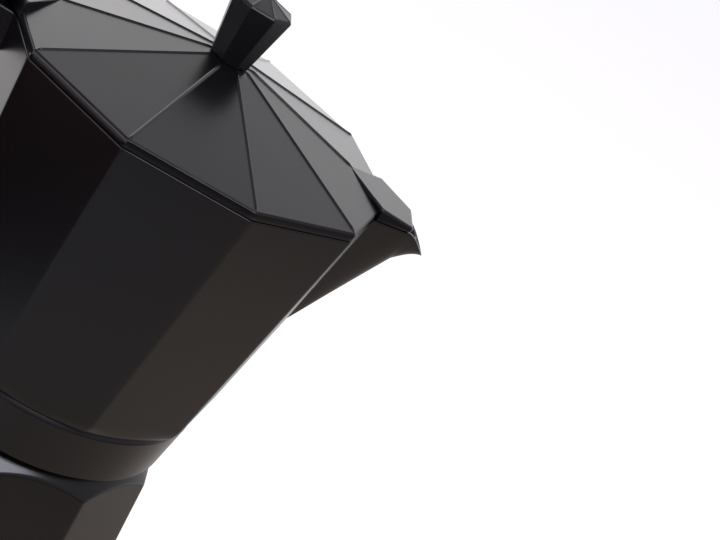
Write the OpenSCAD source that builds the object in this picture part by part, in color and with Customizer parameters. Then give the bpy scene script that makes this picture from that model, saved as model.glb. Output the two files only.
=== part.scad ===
/* [Boiler] */
// Corner radius of the boiler at the table
boiler_foot_r = 51; // [48.5:0.5:55]
// Corner radius of the boiler just below its shoulder
boiler_top_r = 40.4; // [39.8:0.1:42]
// Height of the boiler from the table to the top of its shoulder
boiler_h = 95; // [85:1:110]
// Thickness of the boiler's cast wall
boiler_wall = 2.8; // [2:0.1:3.4]
// Thickness of the boiler's floor
boiler_floor = 3.5; // [2.5:0.5:6]
// Bevel around the bottom edge of the boiler
foot_bevel = 1.8; // [0.5:0.1:3]
// Turn of the boiler's corners from the spout when screwed home, in degrees
boiler_turn = 16.5; // [0:0.5:35.5]

/* [Neck and thread] */
// Radius of the neck at the root of its thread
neck_r = 34.2; // [33.6:0.1:34.6]
// Height of the neck above the boiler's shoulder
neck_h = 10; // [9:0.5:13]
// Radius of the boiler's mouth
mouth_r = 30.4; // [29:0.1:31]
// Rise of the thread in one turn
thread_pitch = 4; // [3.5:0.25:5]
// Depth of the thread
thread_depth = 1; // [0.7:0.1:1.2]
// Play between the two threads
thread_gap = 0.3; // [0.25:0.05:0.4]

/* [Funnel] */
// Depth of the coffee basket
basket_depth = 26; // [20:1:32]
// Sheet thickness of the funnel
funnel_wall = 0.9; // [0.6:0.1:1.2]
// Outside radius of the funnel's stem
stem_r = 4.6; // [3.6:0.1:6]
// Gap under the stem's end for the water
stem_gap = 7; // [4:0.5:12]
// Play between the funnel and what holds it
funnel_gap = 0.35; // [0.2:0.05:0.5]
// Thickness of the perforated discs
sieve_t = 0.8; // [0.5:0.1:1.2]
// Radius of one sieve hole
sieve_hole_r = 0.7; // [0.5:0.05:0.9]
// Distance between sieve holes
sieve_step = 5; // [4:0.25:7]

/* [Gasket] */
// Thickness of the gasket ring
gasket_t = 3.6; // [2.5:0.1:5]
// Inside radius of the gasket ring
gasket_in_r = 27.2; // [26:0.1:28]
// Width of the gasket under the edge of the filter plate
gasket_lip = 1.6; // [1:0.1:2]

/* [Collector] */
// Corner radius of the collector at its rim
rim_r = 50.3; // [48:0.1:53]
// Corner radius of the collector's walls where they reach the collar
waist_r = 41.7; // [41:0.1:43]
// Radius of the collar at its bottom edge
collar_low_r = 38.1; // [37.5:0.1:39.5]
// Radius of the collar at its top edge
collar_top_r = 40; // [39.2:0.1:41]
// Height of the collar
collar_h = 13; // [11:0.5:16]
// Gap between the collar and the boiler's shoulder
collar_gap = 1; // [0.5:0.1:2]
// Height from the collar to the rim
chamber_h = 69.9; // [60:0.5:85]
// Height over which the corners of the walls round into the collar
waist_round = 5; // [3:0.5:12]
// Thickness of the collector's cast wall
chamber_wall = 2.2; // [1.6:0.1:3]
// Thickness of the collector's floor
chamber_floor = 3; // [2:0.5:5]

/* [Column] */
// Radius of the riser column at its foot
column_foot_r = 7; // [6:0.25:9]
// Radius of the riser column at its top
column_top_r = 5; // [4.5:0.25:6]
// Height of the riser column above the floor
column_h = 46; // [35:1:55]
// Radius of the riser column's bore
column_bore_r = 3; // [2:0.25:3.5]
// Radius of the two outlets under the column's top
outlet_r = 1.8; // [1:0.1:2.2]
// Radius of the column's flange on the floor
column_flange_r = 8.5; // [8.2:0.1:10]

/* [Spout] */
// Reach of the spout's tip beyond the rim's corner
spout_out = 13.9; // [11:0.1:16]
// Drop of the spout's tip below the rim
spout_drop = 5.1; // [3:0.1:7]
// Half width of the spout where it leaves the rim
spout_root_w = 9.3; // [8:0.1:11]
// Half width of the spout's lip at the end of the lid's visor
spout_lip_w = 5.1; // [4:0.1:6]
// Height of the spout's keel from its foot to the rim
spout_depth = 37; // [28:1:45]
// Length of the beak, where the keel bends forward
beak_l = 6.2; // [4:0.1:8]
// Height of the beak's bend
beak_h = 4.2; // [3:0.1:6]
// Thickness of the spout's wall
spout_wall = 1.5; // [1:0.1:2]

/* [Lid] */
// How far the lid's edge stands inside the rim's
lid_inset = 0.3; // [0:0.1:0.6]
// Rise of the lid's facets from edge to apex
lid_rise = 12.2; // [9:0.2:18]
// Depth of the lid's upright edge
lid_skirt = 2; // [1.5:0.1:3]
// Thickness of the lid
lid_wall = 1.8; // [1.2:0.1:2.5]
// Gap between the lid's edge and the rim
lid_gap = 0.3; // [0.2:0.05:0.6]
// Distance from the lid's corner in to the visor's inner point
visor_back = 12.8; // [10:0.1:16]
// Reach of the visor's front edge beyond the lid's corner
visor_reach = 7.4; // [6:0.1:8.5]
// Half width of the visor at the lid's edge
visor_w = 9.3; // [7:0.1:11]
// Half width of the visor's front edge
visor_tip_w = 5; // [3:0.1:6]
// Fall of the visor's top for each millimetre outwards
visor_fall = 0.185; // [0.15:0.005:0.22]
// Distance from the lid's corner in to the rear wedge's inner point
wedge_back = 10.5; // [9:0.1:13]
// Half width of the rear wedge at the lid's edge
wedge_w = 12.5; // [10:0.1:14]

/* [Hinge] */
// Distance from the lid's corner to the hinge pin's axis
hinge_out = 4.5; // [4:0.1:6]
// Height of the hinge pin's axis above the rim
hinge_up = 1.2; // [0.6:0.1:2]
// Radius of the hinge pin
hinge_pin_r = 1.5; // [1:0.1:1.8]
// Radius of the hinge knuckles
knuckle_r = 3.2; // [2.8:0.1:3.5]
// Half width of the lid's knuckle
knuckle_w = 4.5; // [3:0.1:6]
// Half width of the collector's bracket
bracket_w = 9.4; // [8:0.1:12]
// Side play between the knuckles
hinge_gap = 0.3; // [0.2:0.05:0.5]
// Distance from the hinge pin's axis to the bracket's outer face
bracket_out = 7.5; // [6:0.1:9]
// Height of the bracket where it leaves the wall, below the rim
bracket_drop = 10.2; // [8:0.1:14]
// Distance from the bracket's outer face to the start of its haunch
haunch_in = 5.5; // [3:0.5:8]
// Drop of the tang's top below the rim
tang_drop = 5; // [4:0.5:7]

/* [Knob] */
// Corner radius of the knob at its foot
knob_foot_r = 5.1; // [4.4:0.1:6]
// Corner radius of the knob at its top edge
knob_top_r = 8; // [6:0.1:9]
// Height of the knob's sides
knob_h = 15.6; // [12:0.2:20]
// Rise of the knob's pointed cap
knob_cap_h = 2.1; // [1:0.1:3]
// Distance of the knob's axis from the pot's, towards the hinge
knob_in = 0.5; // [0:0.1:1]
// Width of the bevel around the knob's top edge
knob_edge = 0.5; // [0.3:0.1:1]
// Number of the knob's sides
knob_sides = 8; // [6:1:12]
// Radius of the knob's screw
screw_r = 1.5; // [1.2:0.1:1.8]

/* [Handle] */
// Distance of the grip's middle from the pot's axis at its top
grip_top_x = 95; // [90:1:105]
// Distance of the grip's middle from the pot's axis at its foot
grip_foot_x = 104; // [96:1:112]
// Height of the grip's foot above the table
grip_foot_z = 99; // [85:1:115]
// Width of the grip at its foot
grip_foot_w = 19; // [15:0.5:24]
// Width of the grip at its middle
grip_mid_w = 15; // [12:0.5:19]
// Thickness of the grip
grip_t = 12.5; // [10:0.5:16]
// Length of the bracket's tang inside the handle
tang_l = 11; // [8:0.5:13]
// Thickness of the bracket's tang
tang_t = 7.2; // [5:0.2:9]
// Height of the bracket's tang
tang_h = 11; // [8:0.5:12]
// Chamfer along the handle's edges
handle_edge = 3; // [1:0.5:4]
// Radius of the pin that holds the handle
handle_pin_r = 1.5; // [1:0.1:2]
// Play between the handle and the tang
handle_gap = 0.3; // [0.1:0.05:0.4]

/* [Safety valve] */
// Height of the safety valve above the table
valve_z = 60; // [52:1:68]
// Radius of the boss that the valve sits on
valve_boss_r = 8.5; // [8:0.1:10]
// Radius of the valve's stem
valve_stem_r = 4; // [3.8:0.1:4.4]
// Corner radius of the valve's outer hexagon
valve_hex_r = 7.5; // [7:0.1:8]
// Length of the valve's outer hexagon
valve_hex_l = 6; // [5:0.5:8]
// Radius of the valve's plunger
plunger_r = 1.1; // [0.8:0.1:1.3]
// Length of plunger that stands out of the valve at rest
plunger_out = 2; // [1:0.1:3]
// Radius of the valve spring's wire
spring_wire_r = 0.3; // [0.2:0.05:0.35]
// Number of turns in the valve spring
spring_turns = 5; // [3:1:6]

/* [Hidden] */
$fn = 96;
sides = 10;
side_a = 360 / sides;
flat = cos(side_a / 2);
eps = 0.01;
fit = 0.05;

collar_z = boiler_h + collar_gap;
waist_z = collar_z + collar_h;
rim_z = waist_z + chamber_h;
lid_r = rim_r - lid_inset;
visor_in = lid_r - visor_back;
visor_out = lid_r + visor_reach;
wedge_in = lid_r - wedge_back;
spout_reach = rim_r + spout_out;
neck_top = boiler_h + neck_h;
lid_z = rim_z + lid_gap + lid_skirt;
lid_slope = lid_rise / lid_r;

// Seats stacked on the neck: funnel flange, gasket, filter plate, collector
gasket_z = neck_top + funnel_wall;
seat_z = gasket_z + gasket_t;
gasket_out_r = mouth_r + 2.2;
flange_r = gasket_out_r - 0.1;
filter_r = gasket_in_r + gasket_lip;
floor_z = seat_z + chamber_floor;

// Outer corner radii of the two faceted bodies at height z
function boiler_r(z) = boiler_foot_r + (boiler_top_r - boiler_foot_r) * z / (boiler_h - 4);
function chamber_r(z) = waist_r + (rim_r - waist_r) * (z - waist_z) / chamber_h;
function mix(a, b, t) = a + (b - a) * t;

// A frustum with the body's number of sides, from height z0 to z1
module facets(z0, z1, r0, r1) {
    translate([0, 0, z0]) cylinder(h = z1 - z0, r1 = r0, r2 = r1, $fn = sides);
}

// Closed skin over rings of points that all have the same count
function skin_faces(rings, n) = concat(
    [[for (i = [0:n - 1]) n - 1 - i]],
    [for (j = [0:rings - 2], i = [0:n - 1])
        [j * n + i, j * n + (i + 1) % n, (j + 1) * n + (i + 1) % n]],
    [for (j = [0:rings - 2], i = [0:n - 1])
        [j * n + i, (j + 1) * n + (i + 1) % n, (j + 1) * n + i]],
    [[for (i = [0:n - 1]) (rings - 1) * n + i]]);

module skin(rings) {
    polyhedron(points = [for (ring = rings, p = ring) p],
        faces = skin_faces(len(rings), len(rings[0])), convexity = 6);
}

// ---- Threads ----
// A ridge on one right-hand helix that passes height z at angle 0. It runs from angle a0 to a1,
// stands from the root radius to the crest radius and fades out at both ends
thread_steps = 60;
thread_root_h = thread_pitch * 0.7;
thread_crest_h = thread_pitch * 0.3;
thread_sink = 0.6;
module helix(root, crest, z, a0, a1) {
    n = round(thread_steps * (a1 - a0) / 360);
    fade = thread_steps / 8;
    inside = crest < root;
    skin([for (i = [0:n])
        let (a = mix(a0, a1, i / n),
            s = min(1, i / fade, (n - i) / fade),
            into = inside ? thread_sink : -thread_sink,
            c = mix(root + into / 2, crest, s),
            b = root + into,
            hr = thread_root_h / 2 + 0.3,
            hc = mix(hr, thread_crest_h / 2, s),
            ring = [[b, -hr], [c, -hc], [c, hc], [b, hr]])
        [for (p = inside ? [ring[3], ring[2], ring[1], ring[0]] : ring)
            [p[0] * cos(a), p[0] * sin(a), z + thread_pitch * a / 360 + p[1]]]]);
}

// Angle at which the helix that passes z_ref at angle 0 reaches height z
function helix_a(z_ref, z) = 360 * (z - z_ref) / thread_pitch;
thread_margin = thread_root_h / 2 + 1;
male_z = boiler_h + thread_margin;
female_z = male_z - thread_pitch / 2;
bore_r = neck_r + thread_depth + thread_gap;

// ---- Boiler ----
shoulder_r = neck_r + 2.4;
valve_a = boiler_turn + side_a * 1.5;
pad_depth = boiler_wall + 1.2;
boss_stand = 2;
valve_face = boiler_r(valve_z) * flat + boss_stand;
valve_pad = valve_face - boss_stand - pad_depth;

module boiler_outside() {
    intersection() {
        rotate([0, 0, boiler_turn]) facets(0, boiler_h, boiler_r(0), boiler_r(boiler_h));
        rotate_extrude() polygon([[0, 0],
            [boiler_r(0) * flat - foot_bevel, 0],
            [boiler_r(0) + 4, 4 + boiler_r(0) * (1 - flat) + foot_bevel],
            [boiler_r(0) + 4, boiler_h - (boiler_r(0) + 4 - shoulder_r)],
            [shoulder_r, boiler_h], [0, boiler_h]]);
    }
}

function cavity_r(z) = boiler_r(z) * flat - boiler_wall;
module boiler_cavity() {
    rotate_extrude() polygon([[0, boiler_floor],
        [cavity_r(boiler_floor) - 5, boiler_floor],
        [cavity_r(boiler_floor) - 1.5, boiler_floor + 1.5],
        [cavity_r(boiler_floor + 5), boiler_floor + 5],
        [cavity_r(boiler_h - 9), boiler_h - 9],
        [mouth_r, boiler_h - 2.5],
        [mouth_r, neck_top + 1], [0, neck_top + 1]]);
}

// Places children on the valve's axis, with +X outwards and x = 0 at the boss's face
module at_valve() {
    rotate([0, 0, valve_a]) translate([valve_face, 0, valve_z]) children();
}

// A cylinder along +X from x0 to x1
module rod(r, x0, x1, n = $fn) {
    translate([x0, 0, 0]) rotate([0, 90, 0]) cylinder(h = x1 - x0, r = r, $fn = n);
}

module boiler() {
    color("#1b1b1e") difference() {
        union() {
            difference() {
                union() {
                    boiler_outside();
                    translate([0, 0, boiler_h - 1]) cylinder(h = neck_h + 1, r = neck_r);
                    helix(neck_r, neck_r + thread_depth, male_z, 0,
                        helix_a(male_z, neck_top - thread_margin));
                    at_valve() rotate([20, 0, 0]) rod(valve_boss_r, -6, 0);
                }
                boiler_cavity();
            }
            at_valve() rod(valve_boss_r - 1, valve_pad - valve_face, -3);
        }
        at_valve() rod(valve_stem_r + fit, -20, 5);
    }
}

// ---- Safety valve, built along +X from the face of its boss ----
washer_t = 0.8;
nut_t = 3.4;
nut_r = 6.4;
stem_end = valve_pad - valve_face - nut_t - 1.5;
cap_t = 1.2;
chamber_end = washer_t + valve_hex_l - cap_t;
chamber_rr = valve_stem_r - 1.2;
seat_x = -3;
seal_t = 0.8;
head_t = 1;

module valve_gasket() {
    color("#8a3b2c") at_valve() difference() {
        rod(valve_hex_r - 0.6, 0, washer_t);
        rod(valve_stem_r + fit, -1, washer_t + 1);
    }
}

module valve_body() {
    color("#b08d4a") at_valve() difference() {
        union() {
            rod(valve_hex_r, washer_t, washer_t + valve_hex_l, 6);
            rod(valve_stem_r, stem_end, washer_t + 1);
        }
        rod(1.2, stem_end - 1, 0);
        rod(chamber_rr, seat_x, chamber_end + 1);
        rod(chamber_rr + 0.6, chamber_end, chamber_end + cap_t + 1);
    }
}

module valve_nut() {
    color("#b08d4a") at_valve() difference() {
        rod(nut_r, valve_pad - valve_face - nut_t, valve_pad - valve_face, 6);
        rod(valve_stem_r + fit, -20, 0);
    }
}

module valve_cap() {
    color("#c7a35c") at_valve() difference() {
        rod(chamber_rr + 0.6 - fit, chamber_end, chamber_end + cap_t);
        rod(plunger_r + fit, 0, 20);
    }
}

module valve_plunger() {
    color("#c9c9cc") at_valve() {
        rod(chamber_rr - 0.3, seat_x + seal_t, seat_x + seal_t + head_t);
        rod(plunger_r, seat_x + seal_t, chamber_end + cap_t + plunger_out);
    }
}

module valve_seal() {
    color("#303030") at_valve() rod(chamber_rr - 0.4, seat_x, seat_x + seal_t);
}

// Round wire swept along a coil between the plunger's head and the cap
module valve_spring() {
    x0 = seat_x + seal_t + head_t + spring_wire_r + 0.1;
    x1 = chamber_end - spring_wire_r - 0.1;
    r = (plunger_r + chamber_rr) / 2;
    n = 14 * spring_turns;
    color("#d0d0d4") at_valve() skin([for (i = [0:n])
        let (t = i / n, a = 360 * spring_turns * t, x = mix(x0, x1, t))
        [for (k = [0:5]) let (b = 60 * k, rr = r + spring_wire_r * cos(b))
            [x + spring_wire_r * sin(b), rr * cos(a), rr * sin(a)]]]);
}

// ---- Funnel and sieves ----
basket_r = mouth_r - funnel_gap;
basket_z = neck_top - basket_depth;
ledge = 1.3;
cone_h = 9;

module funnel() {
    stem_end_z = boiler_floor + stem_gap;
    color("#b9babd") rotate_extrude() polygon([
        [flange_r, gasket_z], [flange_r, neck_top], [basket_r, neck_top],
        [basket_r, basket_z - 1.2], [stem_r, basket_z - 1.2 - cone_h], [stem_r, stem_end_z],
        [stem_r - funnel_wall, stem_end_z], [stem_r - funnel_wall, basket_z - cone_h],
        [basket_r - funnel_wall - ledge, basket_z],
        [basket_r - funnel_wall, basket_z], [basket_r - funnel_wall, gasket_z]]);
}

// A disc pierced by holes on a triangular grid, inside the radius that carries them
module sieve(r, z, open_r) {
    rows = floor(open_r / (sieve_step * sin(60)));
    cols = ceil(open_r / sieve_step) + 1;
    translate([0, 0, z]) linear_extrude(sieve_t) difference() {
        circle(r);
        for (j = [-rows:rows], i = [-cols:cols]) {
            x = (i + (j % 2 == 0 ? 0 : 0.5)) * sieve_step;
            y = j * sieve_step * sin(60);
            if (norm([x, y]) < open_r - sieve_hole_r)
                translate([x, y]) circle(sieve_hole_r, $fn = 24);
        }
    }
}

module funnel_sieve() {
    color("#c4c5c8") sieve(basket_r - funnel_wall - fit, basket_z,
        basket_r - funnel_wall - ledge - 1);
}

module filter_plate() {
    color("#c4c5c8") sieve(filter_r - fit, seat_z - sieve_t, gasket_in_r - 1);
}

module gasket() {
    color("#e8e6df") rotate_extrude() polygon([
        [gasket_in_r, gasket_z], [gasket_out_r, gasket_z], [gasket_out_r, seat_z],
        [filter_r, seat_z], [filter_r, seat_z - sieve_t], [gasket_in_r, seat_z - sieve_t]]);
}

// ---- Spout: stations along +X, each a keel with two flanks up to its top edge ----
// The keel leaves the body low down, runs out straight, then bends forward into the beak
keel_foot_x = chamber_r(rim_z - spout_depth) - 0.1;
beak_x = spout_reach - beak_l;
tip_z = rim_z - spout_drop;
function keel_z(x) = x <= beak_x
    ? mix(rim_z - spout_depth, tip_z - beak_h, (x - keel_foot_x) / (beak_x - keel_foot_x))
    : mix(tip_z - beak_h, tip_z, sin(90 * (x - beak_x) / beak_l));
function lip_z(x) = x <= visor_out ? rim_z
    : rim_z - (spout_drop - 0.01) * pow((x - visor_out) / (spout_reach - visor_out), 1.5);
root_x = lid_r * flat - 1;
function lip_w(x) = x <= visor_out ? mix(spout_root_w, spout_lip_w, (x - root_x) / (visor_out - root_x))
    : spout_lip_w * pow(max(0, 1 - (x - visor_out) / (spout_reach - visor_out)), 0.55);
function flank_p(x) = mix(1.1, 2.2, max(0, min(1, (x - root_x) / (spout_reach - root_x))));

spout_start = keel_foot_x - 5.6;
spout_xs = concat([for (i = [0:6]) mix(spout_start, beak_x, i / 6)],
    [for (i = [1:6]) mix(beak_x, spout_reach, i / 6)]);
spout_steps = 5;
lip_edge = 0.6;
// Half a section from the top edge down to the keel, then mirrored
function section(x, top, thin) = let (
        w = max(lip_edge, lip_w(x) - thin),
        k = min(keel_z(x) + thin * 2.2, top - lip_edge),
        p = flank_p(x))
    [for (i = [spout_steps:-1:-spout_steps])
        let (u = i / spout_steps, v = sin(90 * abs(u)) * sign(u))
        [x, w * v, mix(k, top, pow(abs(v), p))]];

module spout_outside() {
    skin([for (x = spout_xs) section(x, lip_z(x), 0)]);
}

module spout_inside() {
    skin([for (x = spout_xs) if (x < spout_reach - spout_wall * 0.6)
        section(x, lip_z(x) + 1, spout_wall)]);
}

// ---- Collector ----
bracket_x = lid_r + hinge_out + bracket_out;
tang_z1 = rim_z - tang_drop;
tang_z0 = tang_z1 - tang_h;
pin_x = -(lid_r + hinge_out);
pin_z = rim_z + hinge_up;

// Profile that rounds a faceted body down into a circle of radius r at height z
module rounded_below(r, r_big, z, top) {
    rotate_extrude() polygon(concat([[0, z]],
        [for (i = [0:8]) let (a = 90 * i / 8)
            [r + (r_big - r) * sin(a), z + waist_round * (1 - cos(a))]],
        [[r_big, top], [0, top]]));
}

module chamber_outside() {
    intersection() {
        facets(waist_z, rim_z, waist_r, rim_r);
        union() {
            rounded_below(collar_top_r - 0.6, chamber_r(waist_z + waist_round) + 0.3, waist_z,
                waist_z + waist_round + eps);
            translate([0, 0, waist_z + waist_round])
                cylinder(h = chamber_h, r = rim_r + 10);
        }
    }
}

module chamber_inside() {
    t = chamber_wall / flat;
    intersection() {
        facets(waist_z, rim_z + 1, waist_r - t, chamber_r(rim_z + 1) - t);
        rotate_extrude() polygon(concat([[0, floor_z], [column_foot_r + 3, floor_z]],
            [for (i = [0:6]) let (a = 90 * i / 6)
                [collar_top_r - 4 - 8 + 9.5 * sin(a), floor_z + 8 * (1 - cos(a))]],
            [[rim_r, floor_z + 14], [rim_r, rim_z + 2], [0, rim_z + 2]]));
    }
}

module collar_outside() {
    rotate_extrude() polygon([[0, collar_z], [collar_low_r - 0.5, collar_z],
        [collar_low_r, collar_z + 0.5], [collar_top_r, waist_z - 0.8],
        [collar_top_r - 0.5, waist_z], [collar_top_r - 0.6, waist_z + 0.4],
        [0, waist_z + 0.4]]);
}

// Space in the collar for the neck, the funnel's flange, the gasket and the filter plate
module collar_inside() {
    rotate_extrude() polygon([[0, collar_z - 1], [bore_r + 0.7, collar_z - 1],
        [bore_r + 0.7, collar_z], [bore_r, collar_z + 0.7], [bore_r, neck_top + 0.3],
        [gasket_out_r + 0.3, neck_top + 0.3], [gasket_out_r + 0.3, seat_z],
        [gasket_in_r - 1, seat_z], [column_foot_r, seat_z + chamber_floor * 0.35],
        [0, seat_z + chamber_floor * 0.35]]);
}

// Side outline of the bracket that carries the hinge and the handle
module bracket_outline() {
    foot_z = rim_z - bracket_drop;
    polygon([[-chamber_r(foot_z) * flat + 1, foot_z], [-bracket_x + haunch_in, foot_z],
        [-bracket_x, tang_z0 - 2],
        [-bracket_x, tang_z1 + 1.5], [pin_x - knuckle_r, rim_z - 1],
        [pin_x - knuckle_r, pin_z], [pin_x + knuckle_r, pin_z],
        [pin_x + knuckle_r, rim_z], [-rim_r + 2.5, rim_z]]);
}

// Extrudes an outline drawn in X and Z across the width from y0 to y1
module across(y0, y1) {
    translate([0, y1, 0]) rotate([90, 0, 0]) linear_extrude(y1 - y0) children();
}

module bracket() {
    across(-bracket_w, bracket_w) bracket_outline();
    across(-bracket_w, bracket_w) translate([pin_x, pin_z]) circle(knuckle_r);
    translate([-bracket_x - tang_l, -tang_t / 2, tang_z0])
        cube([tang_l + 1, tang_t, tang_z1 - tang_z0]);
}

module collector() {
    color("#1b1b1e") difference() {
        union() {
            difference() {
                union() {
                    chamber_outside();
                    spout_outside();
                    collar_outside();
                    difference() {
                        bracket();
                        translate([pin_x - knuckle_r - 1, -knuckle_w - hinge_gap, rim_z - 3])
                            cube([knuckle_r * 2 + 2.2, 2 * (knuckle_w + hinge_gap), 12]);
                    }
                }
                chamber_inside();
                spout_inside();
                collar_inside();
            }
            helix(bore_r, neck_r + thread_gap, female_z,
                helix_a(female_z, collar_z + thread_margin + 0.15),
                helix_a(female_z, neck_top - thread_margin + 0.6));
        }
        translate([0, 0, seat_z - 1]) cylinder(h = chamber_floor + 3, r = spigot_r + fit);
        translate([pin_x, 0, pin_z]) rotate([90, 0, 0])
            cylinder(h = 60, r = hinge_pin_r, center = true);
        translate([-bracket_x - tang_l / 2, 0, (tang_z0 + tang_z1) / 2]) rotate([90, 0, 0])
            cylinder(h = 60, r = handle_pin_r + fit, center = true);
    }
}

// ---- Riser column ----
spigot_r = column_foot_r - 1.6;
module riser_column() {
    top = floor_z + column_h;
    color("#b4b5b8") difference() {
        rotate_extrude() polygon([[0, floor_z - chamber_floor * 0.6],
            [spigot_r, floor_z - chamber_floor * 0.6], [spigot_r, floor_z],
            [column_flange_r, floor_z], [column_flange_r, floor_z + 1],
            [column_foot_r, floor_z + 1.6], [column_top_r, top - 1], [column_top_r - 1, top],
            [0, top]]);
        translate([0, 0, seat_z]) cylinder(h = top - 2 - seat_z, r = column_bore_r);
        translate([0, 0, top - 2 - outlet_r * 1.6]) rotate([90, 0, 0])
            cylinder(h = 40, r = outlet_r, center = true);
    }
}

// ---- Lid ----
knob_rest_r = knob_foot_r + knob_in + 0.3;
knob_z = lid_z + lid_rise * (1 - knob_rest_r / lid_r);
boss_z = knob_z - 2.6;
skirt_t = 2.6;

module lid_shell() {
    facets(lid_z - lid_skirt, lid_z, lid_r, lid_r);
    facets(lid_z, knob_z, lid_r, knob_rest_r);
}

// Raised wedge over the spout: a flat top that falls outwards from a point on the facets
function on_lid(x) = lid_z + lid_rise - lid_slope * x;
function visor_top(x) = on_lid(visor_in) - visor_fall * (x - visor_in);
edge_x = lid_r * flat;
module wedge(drop, thin) {
    low = lid_z - lid_skirt + drop;
    ring = [[visor_in - 1 + thin, 0], [edge_x, visor_w - thin],
        [visor_out - thin, visor_tip_w - thin], [visor_out - thin, thin - visor_tip_w],
        [edge_x, thin - visor_w]];
    skin([[for (p = ring) [p[0], p[1], low]],
        [for (p = ring) [p[0], p[1], visor_top(p[0]) - (thin > 0 ? lid_wall : 0)]]]);
}

// Raised wedge at the hinge and the tongue that carries the lid's knuckle
module rear_wedge() {
    low = lid_z - lid_skirt;
    top = on_lid(wedge_in);
    fall = 0.06;
    x_side = 1.5 - lid_r * flat;
    x_out = pin_x + knuckle_r + 0.6;
    ring = [[-wedge_in, 0], [x_side, -wedge_w], [x_out, -knuckle_w], [x_out, knuckle_w],
        [x_side, wedge_w]];
    skin([[for (p = ring) [p[0], p[1], low + 0.5]],
        [for (p = ring) [p[0], p[1], top + fall * (p[0] + wedge_in)]]]);
    across(-knuckle_w, knuckle_w) {
        polygon([[-lid_r + 6, low], [pin_x, low], [pin_x, pin_z + knuckle_r - 0.1],
            [-lid_r + 3, top - 0.7]]);
        translate([pin_x, pin_z]) circle(knuckle_r);
    }
}

module lid() {
    color("#1f1f22") difference() {
        union() {
            difference() {
                union() {
                    lid_shell();
                    wedge(0, 0);
                }
                facets(lid_z - lid_skirt - 1, lid_z - lid_wall + lid_skirt * 0.4,
                    lid_r - skirt_t, lid_r - skirt_t);
                intersection() {
                    facets(lid_z - lid_wall - lid_skirt, knob_z - lid_wall,
                        lid_r + lid_skirt / lid_slope, (lid_r - (knob_z - lid_z) / lid_slope));
                    facets(lid_z - lid_skirt - 1, knob_z, lid_r - skirt_t, lid_r - skirt_t);
                }
                wedge(-1, lid_wall);
            }
            intersection() {
                translate([-knob_in, 0, boss_z]) cylinder(h = knob_z - boss_z, r = 7);
                lid_shell();
            }
            difference() {
                rear_wedge();
                facets(lid_z - 6, lid_z - 1, lid_r - skirt_t, lid_r - skirt_t);
            }
        }
        translate([-knob_in, 0, boss_z - 1]) cylinder(h = 10, r = screw_r + fit);
        translate([pin_x, 0, pin_z]) rotate([90, 0, 0])
            cylinder(h = 40, r = hinge_pin_r + fit, center = true);
    }
}

module hinge_pin() {
    color("#c9c9cc") translate([pin_x, 0, pin_z]) rotate([90, 0, 0])
        cylinder(h = 2 * bracket_w + 1, r = hinge_pin_r - 0.02, center = true);
}

// ---- Knob and its fixing ----
insert_r = 2.9;
insert_l = 8;
// Corners of a regular polygon with its flats facing X and Y
function corners(n, r, z) = [for (i = [n - 1:-1:0])
    [r * cos((i + 0.5) * 360 / n), r * sin((i + 0.5) * 360 / n), z]];

module knob() {
    color("#141416") translate([-knob_in, 0, 0]) difference() {
        skin([corners(knob_sides, knob_foot_r, knob_z),
            corners(knob_sides, knob_top_r, knob_z + knob_h - knob_edge),
            corners(knob_sides, knob_top_r - knob_edge, knob_z + knob_h),
            corners(knob_sides, 0.4, knob_z + knob_h + knob_cap_h)]);
        translate([0, 0, knob_z - 1]) cylinder(h = insert_l + 1, r = insert_r);
    }
}

module knob_insert() {
    color("#c7a35c") translate([-knob_in, 0, knob_z]) difference() {
        cylinder(h = insert_l, r = insert_r - 0.03);
        translate([0, 0, -1]) cylinder(h = insert_l, r = screw_r + fit);
    }
}

knob_washer_t = 0.6;
module knob_washer() {
    color("#c9c9cc") translate([-knob_in, 0, boss_z - knob_washer_t]) difference() {
        cylinder(h = knob_washer_t, r = 4);
        translate([0, 0, -1]) cylinder(h = 3, r = screw_r + fit);
    }
}

module knob_screw() {
    head = 1.8;
    base = boss_z - knob_washer_t;
    color("#c9c9cc") translate([-knob_in, 0, 0]) difference() {
        union() {
            translate([0, 0, base - head]) cylinder(h = head, r = 3);
            translate([0, 0, base - 0.5]) cylinder(h = knob_z - base + 6, r = screw_r);
        }
        translate([-4, -0.4, base - head - 1]) cube([8, 0.8, 1.8]);
    }
}

// ---- Handle: chamfered sections carried along the middle line of arm and grip ----
arm_x = bracket_x + handle_gap;
arm_z = (tang_z0 + tang_z1) / 2;
// Each station: distance out, height, tilt of its section in degrees, width, thickness
function station(i) = [
    [arm_x, arm_z + 0.5, 0, 2 * bracket_w, 20],
    [arm_x + 8, arm_z + 1, 0, 2 * bracket_w, 19.4],
    [arm_x + 15, arm_z + 1.6, 0, 2 * bracket_w - 1.4, 17.4],
    [grip_top_x - 9, arm_z + 1.6, -12, grip_mid_w + 1, 15.5],
    [grip_top_x - 1.5, arm_z - 0.8, -36, grip_mid_w, 15.4],
    [grip_top_x + 2, arm_z - 8, -66, grip_mid_w, grip_t + 1.6],
    [mix(grip_top_x, grip_foot_x, 0.3) + 1, arm_z - 20, -82, grip_mid_w, grip_t],
    [mix(grip_top_x, grip_foot_x, 0.55), mix(arm_z - 20, grip_foot_z, 0.4), -83, grip_mid_w, grip_t],
    [mix(grip_top_x, grip_foot_x, 0.8), mix(arm_z - 20, grip_foot_z, 0.75), -83,
        mix(grip_mid_w, grip_foot_w, 0.6), grip_t],
    [grip_foot_x, grip_foot_z, -80, grip_foot_w, grip_t + 1]][i];
handle_stations = 10;
function chamfered(w, t, c) = [[w / 2, c - t / 2], [w / 2, t / 2 - c], [w / 2 - c, t / 2],
    [c - w / 2, t / 2], [-w / 2, t / 2 - c], [-w / 2, c - t / 2], [c - w / 2, -t / 2],
    [w / 2 - c, -t / 2]];

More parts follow.
